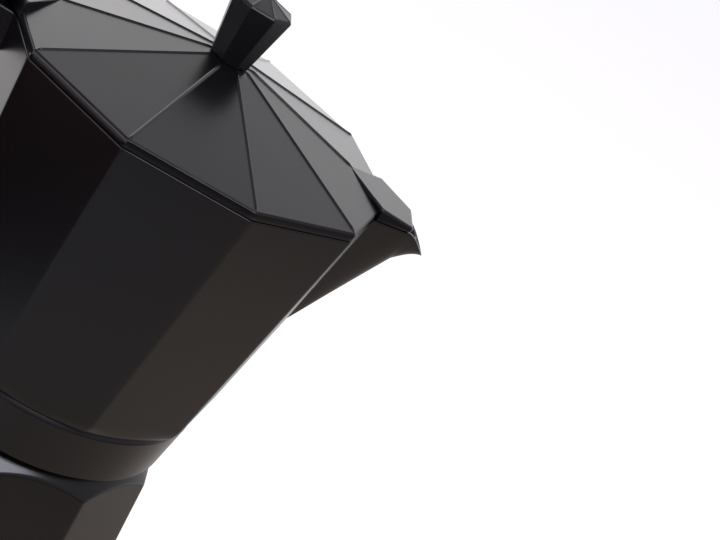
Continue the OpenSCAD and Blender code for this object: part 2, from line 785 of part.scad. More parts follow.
module handle() {
    color("#141416") difference() {
        skin([for (i = [0:handle_stations - 1])
            let (s = station(i), ring = chamfered(s[3], s[4], handle_edge))
            [for (p = ring) [-(s[0] + p[1] * -sin(s[2])), p[0], s[1] + p[1] * cos(s[2])]]]);
        translate([-bracket_x - tang_l - handle_gap, -tang_t / 2 - handle_gap,
                tang_z0 - handle_gap])
            cube([tang_l + 2, tang_t + 2 * handle_gap, tang_z1 - tang_z0 + 2 * handle_gap]);
        translate([-bracket_x - tang_l / 2, 0, arm_z]) rotate([90, 0, 0])
            cylinder(h = 60, r = handle_pin_r, center = true);
    }
}

module handle_pin() {
    color("#c9c9cc") translate([-bracket_x - tang_l / 2, 0, arm_z]) rotate([90, 0, 0])
        cylinder(h = 2 * bracket_w - 0.6, r = handle_pin_r - 0.02, center = true);
}

boiler();
valve_body();
valve_gasket();
valve_nut();
valve_cap();
valve_plunger();
valve_seal();
valve_spring();
funnel();
funnel_sieve();
filter_plate();
gasket();
collector();
riser_column();
lid();
hinge_pin();
knob();
knob_insert();
knob_washer();
knob_screw();
handle();
handle_pin();
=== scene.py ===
"""Looks of a faceted stovetop moka pot: painted castings, moulded knob and handle, bare metal.

Every shape is a surface worked out with numpy in millimetres and written to its mesh in metres.
The pot stands on z = 0 with its spout towards +X and its handle towards -X.
"""

import math

import bmesh
import bpy
import numpy as np
from mathutils import Matrix, Vector


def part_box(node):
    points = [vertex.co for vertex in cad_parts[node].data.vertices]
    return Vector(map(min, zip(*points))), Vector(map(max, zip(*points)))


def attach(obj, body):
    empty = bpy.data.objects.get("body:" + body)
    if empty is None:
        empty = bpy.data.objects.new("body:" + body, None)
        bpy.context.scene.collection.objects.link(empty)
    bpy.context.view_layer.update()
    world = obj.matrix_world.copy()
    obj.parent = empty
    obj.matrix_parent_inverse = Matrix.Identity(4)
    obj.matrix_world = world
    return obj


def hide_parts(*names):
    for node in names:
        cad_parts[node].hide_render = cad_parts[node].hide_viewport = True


bl_info = {
    "name": "Faceted Moka Pot",
    "version": (1, 0, 0),
    "blender": (4, 5, 0),
    "location": "View3D > Sidebar > Moka Pot",
    "description": "Builds the castings, knob, handle and finishes of a faceted moka pot",
    "category": "Add Mesh",
}

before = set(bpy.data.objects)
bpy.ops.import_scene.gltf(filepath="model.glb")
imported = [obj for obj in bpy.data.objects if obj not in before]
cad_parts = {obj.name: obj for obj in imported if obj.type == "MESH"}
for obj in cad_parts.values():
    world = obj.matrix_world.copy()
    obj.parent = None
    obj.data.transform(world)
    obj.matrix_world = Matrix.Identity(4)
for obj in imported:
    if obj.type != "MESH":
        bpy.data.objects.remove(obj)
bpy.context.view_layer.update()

MM = 0.001

# A decagon's radius reaches its corners. FLAT is the share of it that reaches the flats, and
# SIDE_TAN is half a side over the distance to the flats
SIDES = 10
FLAT = math.cos(math.pi / SIDES)
SIDE_TAN = math.tan(math.pi / SIDES)

# Heights, radii and half widths in millimetres, turns in degrees
BOILER_FOOT_R = 50.0
BOILER_TOP_R = 39.3
BOILER_H = 95.0
BOILER_LEAN_H = BOILER_H - 4
BOILER_TURN = 18.0
BOILER_WALL = 1.4
LINING_DEPTH = 1.8
FOOT_BEVEL = 1.8
VALVE_TURN = 70.5
VALVE_Z = 60.0
BOSS_R = 8.7
BOSS_BORE_R = 4.05
BOSS_SINK = 5.5
BOSS_STANDS = 3.0
SHOULDER_R = 34.8
NECK_R = 34.2
NECK_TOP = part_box("boiler")[1].z / MM
MOUTH_R = 30.4
THREAD_PITCH = 4.0
THREAD_DEPTH = 1.0
THREAD_SINK = 0.6
THREAD_ROOT_W = THREAD_PITCH * 0.35
THREAD_CREST_W = THREAD_PITCH * 0.15
THREAD_MARGIN = THREAD_ROOT_W + 1
THREAD_GAP = 0.3
COLLAR_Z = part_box("collector")[0].z / MM
COLLAR_LOW_R = 38.1
COLLAR_TOP_R = 39.6
WAIST_R = 41.7
WAIST_Z = COLLAR_Z + 13.0
WAIST_ROUND = 5.0
RIM_R = 50.3
RIM_Z = WAIST_Z + 69.9
CHAMBER_WALL = 2.3
FLOOR_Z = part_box("riser_column")[0].z / MM + 1.8
FLOOR_HOLLOW = 9.0
FLOOR_INSET = 9.5
COLUMN_BORE_R = 5.45
SEAT_Z = FLOOR_Z - 3
SEAT_IN_R = 26.2
SEAT_R = 32.9
LID_R = 50.0
LID_Z = RIM_Z + 2.3
LID_RISE = 12.2
LID_WALL = 1.8
RIB_END_R = LID_R - 0.6
CREASE_DEPTH = 0.0002
PIN_X, PIN_Z = (sum(axis) / 2 / MM for axis in list(zip(*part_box("hinge_pin")))[::2])
KNUCKLE_R = 3.2
KNUCKLE_W = 4.5
BRACKET_W = 9.4
BRACKET_X = 62.0
LUG_GAP = 0.3
TANG_W = 3.6
TANG_L = 11.0
PLATE_STEP = 0.05
KNOB_SIDES = 8
KNOB_FOOT_R = 5.1
KNOB_REST_R = 5.9
KNOB_TOP_R = 8.0
KNOB_BORE_R = 2.95
KNOB_X = (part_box("knob")[0].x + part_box("knob")[1].x) / 2 / MM
KNOB_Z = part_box("knob")[0].z / MM
KNOB_EDGE_Z = KNOB_Z + 15.6
KNOB_TOP_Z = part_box("knob")[1].z / MM
SPOUT_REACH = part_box("collector")[1].x / MM
VISOR_IN = 37.2
WEDGE_IN = 39.5
WEDGE_W = 12.5
VISOR_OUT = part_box("lid")[1].x / MM
VISOR_W = 9.6
VISOR_TIP_W = 5.3
VISOR_FALL = 0.185
WEDGE_FALL = 0.06

# How a grid closes: whether its rows wrap, whether its columns wrap, and whether flat faces
# close its first and last row
TURNED = (False, True, False)
RING = (True, True, False)
BAR = (False, True, True)
STRIP = (False, False, False)


class PotSizes(bpy.types.PropertyGroup):
    """Sizes of the details that the castings carry."""

    rib_width: bpy.props.FloatProperty(
        name="Rib Width", description="Width of the fine ribs between the lid's facets",
        default=0.0009, min=0.0003, max=0.002, precision=5, unit="LENGTH")
    rib_height: bpy.props.FloatProperty(
        name="Rib Height", description="Height of the fine ribs between the lid's facets",
        default=0.00038, min=0.0, max=0.0006, precision=5, unit="LENGTH")
    crease_depth: bpy.props.FloatProperty(
        name="Crease Depth", description="Depth of the crease inside the lid's edge",
        default=CREASE_DEPTH, min=0.0, max=0.0005, precision=5, unit="LENGTH")
    edge_round: bpy.props.FloatProperty(
        name="Edge Rounding", description="Rounding of the castings' long edges",
        default=0.0007, min=0.0001, max=0.002, precision=5, unit="LENGTH")
    rim_round: bpy.props.FloatProperty(
        name="Rim Rounding", description="Rounding of the collector's rim",
        default=0.00036, min=0.0001, max=0.001, precision=5, unit="LENGTH")


class PotColours(bpy.types.PropertyGroup):
    """Colours of the finishes."""

    paint: bpy.props.FloatVectorProperty(
        name="Paint", description="Satin paint on the castings",
        subtype="COLOR", size=3, default=(0.0018, 0.0014, 0.0022), min=0, max=1)
    moulding: bpy.props.FloatVectorProperty(
        name="Moulding", description="Moulded knob and handle",
        subtype="COLOR", size=3, default=(0.0032, 0.0032, 0.0045), min=0, max=1)
    aluminium: bpy.props.FloatVectorProperty(
        name="Aluminium", description="Bare metal inside the pot",
        subtype="COLOR", size=3, default=(0.62, 0.62, 0.64), min=0, max=1)
    brass: bpy.props.FloatVectorProperty(
        name="Brass", description="Safety valve and knob insert",
        subtype="COLOR", size=3, default=(0.6, 0.44, 0.18), min=0, max=1)
    steel: bpy.props.FloatVectorProperty(
        name="Steel", description="Pins, screw and spring",
        subtype="COLOR", size=3, default=(0.58, 0.58, 0.6), min=0, max=1)


def sizes():
    """The scene's detail sizes."""
    return bpy.context.scene.pot_sizes


def colours():
    """The scene's colours."""
    return bpy.context.scene.pot_colours


# ---------------------------------------------------------------- shapes


def blend(a, b, t):
    """Straight mix of a and b."""
    return a + (b - a) * t


def smooth(t):
    """Eases 0 to 1 with level ends: three t squared less two t cubed."""
    t = np.clip(t, 0, 1)
    return t * t * (3 - 2 * t)


def unit_polygon(sides, phase, soft, inner):
    """Points around a regular polygon whose corners lie at radius 1.

    Each corner is a parabola that leaves its two edges a share `soft` of the radius away, and
    `inner` points lie evenly along the edge between two such parabolas.
    """
    turn = phase + np.arange(sides) * 2 * np.pi / sides
    corner = np.stack([np.cos(turn), np.sin(turn)], -1)[:, None]
    along = np.roll(corner, -1, 0) - corner
    along = along / np.linalg.norm(along, axis=-1, keepdims=True)
    before = corner - soft * np.roll(along, 1, 0)
    after = corner + soft * along
    t = np.linspace(0, 1, 5)[:, None]
    curve = (1 - t) ** 2 * before + 2 * t * (1 - t) * corner + t * t * after
    s = np.linspace(0, 1, inner + 2)[1:-1, None]
    edge = blend(after, np.roll(before, -1, 0), s)
    return np.concatenate([curve, edge], 1).reshape(-1, 2)


def round_ring(count):
    """Points around a circle of radius 1."""
    turn = np.arange(count) * 2 * np.pi / count
    return np.stack([np.cos(turn), np.sin(turn)], -1)


def rounded_rows(knots, closed=False, steps=5):
    """Rows of a profile through its knots, each (out, up, cut), where out and up are numbers or
    arrays with a value for each column.

    At each knot the profile follows the parabola that touches both straight stretches `cut`
    away from the knot, or 0.48 of the stretch where that is shorter.
    """
    columns = max(np.size(value) for *place, _ in knots for value in place)
    points = np.array([[np.broadcast_to(np.asarray(value, float), columns) for value in place]
                       for *place, _ in knots])
    before, after = np.roll(points, 1, 0), np.roll(points, -1, 0)
    if not closed:
        before[0], after[-1] = points[0], points[-1]
    rows = []
    for point, back, on, (*_, cut) in zip(points, before, after, knots):
        if cut == 0:
            rows.append(point[None])
            continue
        ends = []
        for other in (back, on):
            side = other - point
            size = np.maximum(np.linalg.norm(side, axis=0), 1e-9)
            ends.append(point + side / size * np.minimum(cut, 0.48 * size))
        t = np.linspace(0, 1, steps)[:, None, None]
        rows.append((1 - t) ** 2 * ends[0] + 2 * t * (1 - t) * point + t * t * ends[1])
    return np.concatenate(rows)


def turned(rows, ring):
    """Rows of (out, up) carried round the Z axis: each point goes `out` along its column's
    direction in the ring and `up` along Z."""
    way = ring / np.linalg.norm(ring, axis=-1, keepdims=True)
    out, up = (np.broadcast_to(rows[:, i], (len(rows), len(way))) for i in (0, 1))
    return np.stack([out * way[:, 0], out * way[:, 1], up], -1)


def stretch(ring):
    """Distance of each of the ring's points from its centre."""
    return np.linalg.norm(ring, axis=-1)


def soften(points, cut):
    """A closed outline with each corner turned into a parabola that starts `cut` away."""
    return rounded_rows([(x, y, cut) for x, y in points], closed=True)[:, :, 0]


def shrunk(points, distance):
    """A closed counterclockwise outline with every side moved inwards by `distance`: each point
    moves along the sum of its two sides' normals, divided by 1 plus their dot product."""
    points = np.array(points, float)
    side = np.roll(points, -1, 0) - points
    normal = np.stack([side[:, 1], -side[:, 0]], -1)
    normal /= np.linalg.norm(normal, axis=-1, keepdims=True)
    before = np.roll(normal, 1, 0)
    together = 1 + (normal * before).sum(-1, keepdims=True)
    return points - distance * (normal + before) / together


def slab(points, low, high, soft, cut):
    """A plate with the outline `points` in X and Z, counterclockwise seen from -Y, from y = low
    to y = high. Its long edges follow a quarter circle of radius `soft`."""
    turn = np.linspace(0, np.pi / 2, 5)
    inset = soft * (1 - np.sin(turn))
    step = soft * (1 - np.cos(turn))
    rows = [(low + d, i) for i, d in zip(inset, step)]
    rows.append(((low + high) / 2, 0.0))
    rows += [(high - d, i) for i, d in list(zip(inset, step))[::-1]]
    outlines = [(y, soften(shrunk(points, i), cut)) for y, i in rows]
    return np.array([np.stack([o[:, 0], np.full(len(o), y), o[:, 1]], -1) for y, o in outlines])


def helix_ridge(root, crest, z_start, first, last):
    """A thread's ridge: a four-cornered section carried along a right-hand helix, its crest
    sinking below the root at both ends. `first` and `last` are in turns."""
    steps, lead_out = 72, 0.12
    turn = np.linspace(first, last, int(steps * (last - first)) + 1)
    ease = smooth(np.minimum(turn - first, last - turn) / lead_out)
    into = THREAD_SINK if crest < root else -THREAD_SINK
    top = blend(root + into / 2, crest, ease)
    half = THREAD_ROOT_W + 0.3
    tip = blend(half, THREAD_CREST_W, ease)
    base = np.full_like(turn, root + into)
    out = np.stack([base, top, top, base], -1)
    up = np.stack([-half + 0 * turn, -tip, tip, half + 0 * turn], -1)
    up = up + (z_start + THREAD_PITCH * turn)[:, None]
    angle = (2 * np.pi * turn)[:, None]
    return np.stack([out * np.cos(angle), out * np.sin(angle), up], -1)


def grid_faces(rows, columns, closed_rows, closed_columns, offset):
    """Quads between neighbouring points of a grid, with the wanted wraps."""
    r = np.arange(rows if closed_rows else rows - 1)[:, None]
    c = np.arange(columns if closed_columns else columns - 1)[None]
    r2, c2 = (r + 1) % rows, (c + 1) % columns
    quads = np.stack(np.broadcast_arrays(r * columns + c, r * columns + c2,
                                         r2 * columns + c2, r2 * columns + c), -1)
    return (quads.reshape(-1, 4) + offset).tolist()


def add_piece(name, grids, body, slot, replaced=(), sharp=40.0, flat=100):
    """One object of closed surfaces, with its slot's finish. Each grid is its points and how it
    closes. `sharp` is the angle past which an edge stays sharp, and `flat` how strongly large
    faces rule the normals."""
    points, faces, offset = [], [], 0
    for grid, closed_rows, closed_columns, caps in grids:
        rows, columns = grid.shape[:2]
        points.append(grid.reshape(-1, 3))
        faces += grid_faces(rows, columns, closed_rows, closed_columns, offset)
        if caps:
            faces.append([offset + c for c in range(columns)])
            faces.append([offset + (rows - 1) * columns + c for c in range(columns)])
        offset += rows * columns
    mesh = bpy.data.meshes.new(name)
    mesh.from_pydata((np.concatenate(points) * MM).tolist(), [], faces)
    tidy = bmesh.new()
    tidy.from_mesh(mesh)
    bmesh.ops.remove_doubles(tidy, verts=tidy.verts, dist=2e-6)
    bmesh.ops.recalc_face_normals(tidy, faces=tidy.faces)
    tidy.to_mesh(mesh)
    tidy.free()
    mesh.validate()
    mesh.shade_smooth()
    mesh.set_sharp_from_angle(angle=math.radians(sharp))
    mesh.materials.append(FINISHES[slot]())
    piece = bpy.data.objects.new(name, mesh)
    bpy.context.scene.collection.objects.link(piece)
    weights = piece.modifiers.new("Flat Faces Stay Flat", "WEIGHTED_NORMAL")
    weights.keep_sharp = True
    weights.weight = flat
    if replaced:
        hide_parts(*replaced)
    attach(piece, body)


# ---------------------------------------------------------------- finishes


class Value:
    """A number inside a material. Arithmetic on it adds Math nodes."""

    def __init__(self, board, socket):
        self.board, self.socket = board, socket

    def _math(self, operation, other):
        return self.board.maths(operation, self, other)

    def __add__(self, other):
        return self._math("ADD", other)

    def __sub__(self, other):
        return self._math("SUBTRACT", other)

    def __rsub__(self, other):
        return self.board.maths("SUBTRACT", other, self)

    def __mul__(self, other):
        return self._math("MULTIPLY", other)

    def __pow__(self, other):
        return self._math("POWER", other)

    def below(self, other):
        """1 where the value is below the other, else 0."""
        return self._math("LESS_THAN", other)

    def ramp(self, low, high):
        """0 at low and beyond it, 1 at high and beyond it, smooth between."""
        node = self.board.node("ShaderNodeMapRange", {"interpolation_type": "SMOOTHSTEP"},
                               {"Value": self, "From Min": low, "From Max": high})
        return Value(self.board, node.outputs["Result"])

    __radd__ = __add__
    __rmul__ = __mul__


class Board:
    """Builds the nodes of one material or world."""

    def __init__(self, tree):
        self.tree = tree
        tree.nodes.clear()

    def node(self, kind, settings=(), inputs=()):
        """Adds a node, sets its settings first and then its inputs, by name or place."""
        made = self.tree.nodes.new(kind)
        for key, value in dict(settings).items():
            setattr(made, key, value)
        for key, value in dict(inputs).items():
            target = made.inputs[key]
            if isinstance(value, Value):
                value = value.socket
            if isinstance(value, bpy.types.NodeSocket):
                self.tree.links.new(value, target)
            else:
                target.default_value = value
        return made

    def maths(self, operation, *values):
        """A Math node on values or numbers."""
        made = self.node("ShaderNodeMath", {"operation": operation}, dict(enumerate(values)))
        return Value(self, made.outputs[0])

    def mix(self, share, low, high):
        """A colour between two colours."""
        made = self.node("ShaderNodeMix", {"data_type": "RGBA"}, {0: share, 6: low, 7: high})
        return made.outputs[2]

    def place(self, stretch_by=(1, 1, 1)):
        """The piece's own coordinates in metres, stretched."""
        where = self.node("ShaderNodeTexCoord").outputs["Object"]
        if stretch_by == (1, 1, 1):
            return where
        return self.node("ShaderNodeMapping", {}, {"Vector": where, "Scale": stretch_by}).outputs[0]

    def noise(self, scale, detail, where=None):
        """Smooth random value around 0.5."""
        made = self.node("ShaderNodeTexNoise", {},
                         {"Vector": where or self.place(), "Scale": scale, "Detail": detail})
        return Value(self, made.outputs["Fac"])

    def specks(self, scale, size, share):
        """1 on sparse round specks: points close to a random centre, in a few cells only."""
        made = self.node("ShaderNodeTexVoronoi", {}, {"Vector": self.place(), "Scale": scale})
        pick = self.node("ShaderNodeSeparateColor", {}, {0: made.outputs["Color"]})
        chosen = Value(self, pick.outputs[0]).below(share)
        return Value(self, made.outputs["Distance"]).below(size) * chosen

    def axes(self, where):
        """The first two parts of a vector."""
        made = self.node("ShaderNodeSeparateXYZ", {}, {0: where})
        return (Value(self, made.outputs[i]) for i in (0, 1))

    def bump(self, height, distance):
        """Normals of a surface raised by height times distance, in metres."""
        return self.node("ShaderNodeBump", {}, {"Height": height, "Distance": distance}).outputs[0]

    def choice(self, ray, usual, special):
        """One shader for all rays but one kind, and another for that kind."""
        rays = self.node("ShaderNodeLightPath")
        made = self.node("ShaderNodeMixShader", {}, {0: rays.outputs[ray], 1: usual.outputs[0],
                                                     2: special.outputs[0]})
        return made.outputs[0]


def new_material(name):
    """A material with its empty board, or with None where the material is already made."""
    material = bpy.data.materials.get(name)
    if material:
        return material, None
    material = bpy.data.materials.new(name)
    material.use_nodes = True
    return material, Board(material.node_tree)


def surface(board, **inputs):
    """The Principled shader at the end of a material."""
    named = {key.replace("_", " ").title(): value for key, value in inputs.items()}
    shader = board.node("ShaderNodeBsdfPrincipled", {}, named)
    board.node("ShaderNodeOutputMaterial", {}, {"Surface": shader.outputs[0]})


def with_alpha(colour, by):
    """A colour as four numbers, lightened by a factor."""
    return (*(channel * by for channel in colour), 1.0)


def satin_paint():
    """Nearly black paint: cast waviness, fine orange peel and a few dust specks."""
    material, board = new_material("satin_paint")
    if board:
        paint = colours().paint
        cloud = board.noise(38.0, 3.0)
        peel = board.noise(1700.0, 2.0)
        dust = board.specks(150.0, 0.035, 0.012)
        tint = board.mix(cloud, with_alpha(paint, 0.8), with_alpha(paint, 1.25))
        colour = board.mix(dust, tint, (0.2, 0.19, 0.18, 1.0))
        rough = 0.255 + (cloud - 0.5) * 0.05 + (peel - 0.5) * 0.03 + dust * 0.3
        surface(board, base_color=colour, roughness=rough,
                normal=board.bump(cloud * 6.0 + peel * 0.22, 0.00001))
    return material


def moulded_plastic():
    """Black moulded resin with a fine grain and faint flow marks."""
    material, board = new_material("moulded_plastic")
    if board:
        moulding = colours().moulding
        grain = board.noise(1500.0, 4.0)
        flow = board.noise(90.0, 4.0)
        tint = board.mix(flow, with_alpha(moulding, 0.7), with_alpha(moulding, 1.5))
        rough = 0.34 + (grain - 0.5) * 0.16 + (flow - 0.5) * 0.1
        surface(board, base_color=tint, roughness=rough,
                normal=board.bump(grain + flow * 1.5, 0.00004))
    return material


def bare_metal(name, colour, rough, turned_lines, across):
    """Metal with fine scratches of a strength, stretched by `across` on X, Y and Z."""
    material, board = new_material(name)
    if board:
        cloud = board.noise(55.0, 3.0)
        lines = board.noise(900.0, 3.0, board.place(across))
        shade = board.mix(cloud, with_alpha(colour, 0.86), with_alpha(colour, 1.06))
        roughness = rough + (cloud - 0.5) * 0.12 + (lines - 0.5) * 0.1
        surface(board, base_color=shade, metallic=1.0, roughness=roughness,
                normal=board.bump(lines, 0.00001 + 0.00003 * turned_lines))
    return material


def aluminium():
    """Bare cast and turned aluminium."""
    return bare_metal("bare_aluminium", colours().aluminium, 0.36, 0.5, (0.15, 0.15, 1.6))


def brass():
    """Turned brass."""
    return bare_metal("turned_brass", colours().brass, 0.28, 0.2, (1, 1, 1))


def steel():
    """Bright drawn steel."""
    return bare_metal("bright_steel", colours().steel, 0.22, 0.1, (1, 0.2, 1))


def soft_ring(name, colour, rough):
    """Matte silicone or fibre with a faint mottle."""
    material, board = new_material(name)
    if board:
        mottle = board.noise(400.0, 4.0)
        shade = board.mix(mottle, with_alpha(colour, 0.8), with_alpha(colour, 1.15))
        surface(board, base_color=shade, roughness=rough + (mottle - 0.5) * 0.1,
                normal=board.bump(mottle, 0.00002))
    return material


FINISHES = {"satin_black": satin_paint, "moulded_black": moulded_plastic,
            "bare_aluminium": aluminium}


# ---------------------------------------------------------------- castings


def boiler_r(z):
    """Corner radius of the boiler's walls at height z."""
    return blend(BOILER_FOOT_R, BOILER_TOP_R, z / BOILER_LEAN_H)


def chamber_r(z):
    """Corner radius of the collector's walls at height z."""
    return blend(WAIST_R, RIM_R, (z - WAIST_Z) / (RIM_Z - WAIST_Z))


class POT_OT_boiler(bpy.types.Operator):
    """Build the painted boiler with its conical shoulder and the valve's boss"""

    bl_idname = "pot.boiler"
    bl_label = "Boiler"

    def execute(self, context):
        self.walls()
        self.boss()
        self.neck()
        return {"FINISHED"}

    def walls(self):
        """Foot with a shallow groove, leaning walls and hollow inside, as one profile carried
        round the decagon. The foot's bevel and the shoulder are cones of 45 degrees, which meet
        the walls at foot_z and edge_z."""
        middle_r, under, groove = 42.0, 2.9, 0.35
        ring = unit_polygon(SIDES, math.radians(BOILER_TURN), sizes().edge_round / MM / middle_r, 16)
        share = stretch(ring)
        slope = (BOILER_TOP_R - BOILER_FOOT_R) / BOILER_LEAN_H
        foot = BOILER_FOOT_R * FLAT - FOOT_BEVEL
        foot_z = (BOILER_FOOT_R * share - foot) / (1 - slope * share)
        edge_z = (SHOULDER_R + BOILER_H - BOILER_FOOT_R * share) / (1 + slope * share)
        throat = NECK_R - 1.2
        rows = rounded_rows([
            (0.0, 0.0, 0), (foot - 9, 0.0, 0.5), (foot - 8.2, groove, 0.5),
            (foot - 4, groove, 0.5), (foot - 3.4, 0.0, 0.5), (foot, 0.0, 0.8),
            (boiler_r(foot_z) * share, foot_z, 1.0), (boiler_r(edge_z) * share, edge_z, 0.7),
            (SHOULDER_R, BOILER_H, 0.3), (throat, BOILER_H, 0.2), (throat, BOILER_H - 2.5, 0),
            (boiler_r(edge_z - 5) * share - BOILER_WALL, edge_z - 5, 1),
            (boiler_r(6.0) * share - BOILER_WALL, 6.0, 1),
            (boiler_r(3.0) * share - 6, under, 1), (0.0, under, 0)], steps=6)
        add_piece("boiler_casting", [(turned(rows, ring), *TURNED)],
                  "boiler", "satin_black", replaced=["boiler"])

    def boss(self):
        """Round boss for the valve: a disc with a rounded rim and a bore, turned outwards."""
        way = math.radians(VALVE_TURN)
        face = boiler_r(VALVE_Z) * FLAT + BOSS_STANDS
        rows = rounded_rows([(BOSS_BORE_R, -BOSS_SINK, 0), (BOSS_R, -BOSS_SINK, 0),
                             (BOSS_R - 0.2, 0.0, 0.5), (BOSS_BORE_R, 0.0, 0.3)], closed=True)
        disc = turned(rows, round_ring(64))
        turn = np.array(Matrix.Rotation(way, 3, "Z") @ Matrix.Rotation(math.pi / 2, 3, "Y"))
        place = np.array([face * math.cos(way), face * math.sin(way), VALVE_Z])
        add_piece("valve_boss", [(disc @ turn.T + place, *RING)], "boiler", "satin_black")

    def neck(self):
        """Bare neck, thread and lining of the water space: a turned profile and a helix."""
        ring = round_ring(120)
        wall = boiler_r(BOILER_H - 9) * FLAT - LINING_DEPTH
        foot = boiler_r(9.0) * FLAT - LINING_DEPTH
        rows = rounded_rows([
            (0.0, 3.5, 0), (foot - 1.5, 3.5, 4), (foot, 9.0, 1.5), (wall, BOILER_H - 9, 3),
            (MOUTH_R, BOILER_H - 2.5, 1), (MOUTH_R, NECK_TOP, 0.3), (NECK_R, NECK_TOP, 0.5),
            (NECK_R, BOILER_H - 0.6, 0), (MOUTH_R + 2.4, BOILER_H - 1.6, 0),
            (wall + 0.5, BOILER_H - 9, 1), (foot + 0.5, 9.0, 1), (foot - 1, 3.0, 1),
            (0.0, 3.0, 0)])
        start = BOILER_H + THREAD_MARGIN
        turns = (NECK_TOP - THREAD_MARGIN - start) / THREAD_PITCH
        ridge = helix_ridge(NECK_R, NECK_R + THREAD_DEPTH, start, 0.0, turns)
        add_piece("boiler_neck", [(turned(rows, ring), *TURNED), (ridge, *BAR)],
                  "boiler", "bare_aluminium")


# The spout is a folded sheet: a keel below, two flanks and a lip that bends into the beak
KEEL_FOOT_Z = RIM_Z - 37.0
KEEL_FOOT_X = chamber_r(KEEL_FOOT_Z) - 0.1
BEAK_L = 6.2
BEAK_H = 4.6
TIP_Z = RIM_Z - 5.1
SPOUT_ROOT_W = 9.3
SPOUT_LIP_W = 5.1
SPOUT_ROOT_X = LID_R * FLAT - 1
SPOUT_WALL = 1.5
SPOUT_SINK = 0.7


def keel_z(x):
    """Height of the keel: straight from the foot to the beak, then a quarter sine wave."""
    beak_x = SPOUT_REACH - BEAK_L
    low = blend(KEEL_FOOT_Z, TIP_Z - BEAK_H, (x - KEEL_FOOT_X) / (beak_x - KEEL_FOOT_X))
    bend = np.sin(np.pi / 2 * np.clip((x - beak_x) / BEAK_L, 0, 1))
    return np.where(x <= beak_x, low, blend(TIP_Z - BEAK_H, TIP_Z, bend))


def lip_z(x):
    """Height of the lip: level with the rim up to the visor, then falling to the tip."""
    t = np.clip((x - VISOR_OUT) / (SPOUT_REACH - VISOR_OUT), 0, 1)
    return RIM_Z - (RIM_Z - TIP_Z) * t ** 1.5


def lip_w(x):
    """Half width of the lip: tapering to the visor's front, then closing round the tip."""
    t = np.clip((x - VISOR_OUT) / (SPOUT_REACH - VISOR_OUT), 0, 1)
    straight = blend(SPOUT_ROOT_W, SPOUT_LIP_W, (x - SPOUT_ROOT_X) / (VISOR_OUT - SPOUT_ROOT_X))
    return np.where(x <= VISOR_OUT, straight, SPOUT_LIP_W * (1 - t) ** 0.55)


def flank_power(x):
    """How round the section is: nearly a V at the wall, a bowl at the tip."""
    t = np.clip((x - SPOUT_ROOT_X) / (SPOUT_REACH - SPOUT_ROOT_X), 0, 1)
    return blend(1.1, 2.2, t)


def spout_point(x, v, thin):
    """Point of the sheet at distance x, share v across (-1 to 1) and depth `thin` inside it.
    It rises from the keel to the lip as v to a power."""
    fade = smooth((SPOUT_REACH - x) / 2.5)
    top = lip_z(x) - SPOUT_WALL / 3 * fade
    low = np.minimum(keel_z(x) + 1.8 * thin * fade, top)
    wide = np.maximum(lip_w(x) - thin * fade, 0)
    return np.stack([x, wide * v, blend(low, top, np.abs(v) ** flank_power(x))], -1)


def wall_x(y, z, depth):
    """Distance from the axis, along X, of the collector's wall at y, z and a depth inside it."""
    return chamber_r(z) - depth / FLAT - np.abs(y) * SIDE_TAN


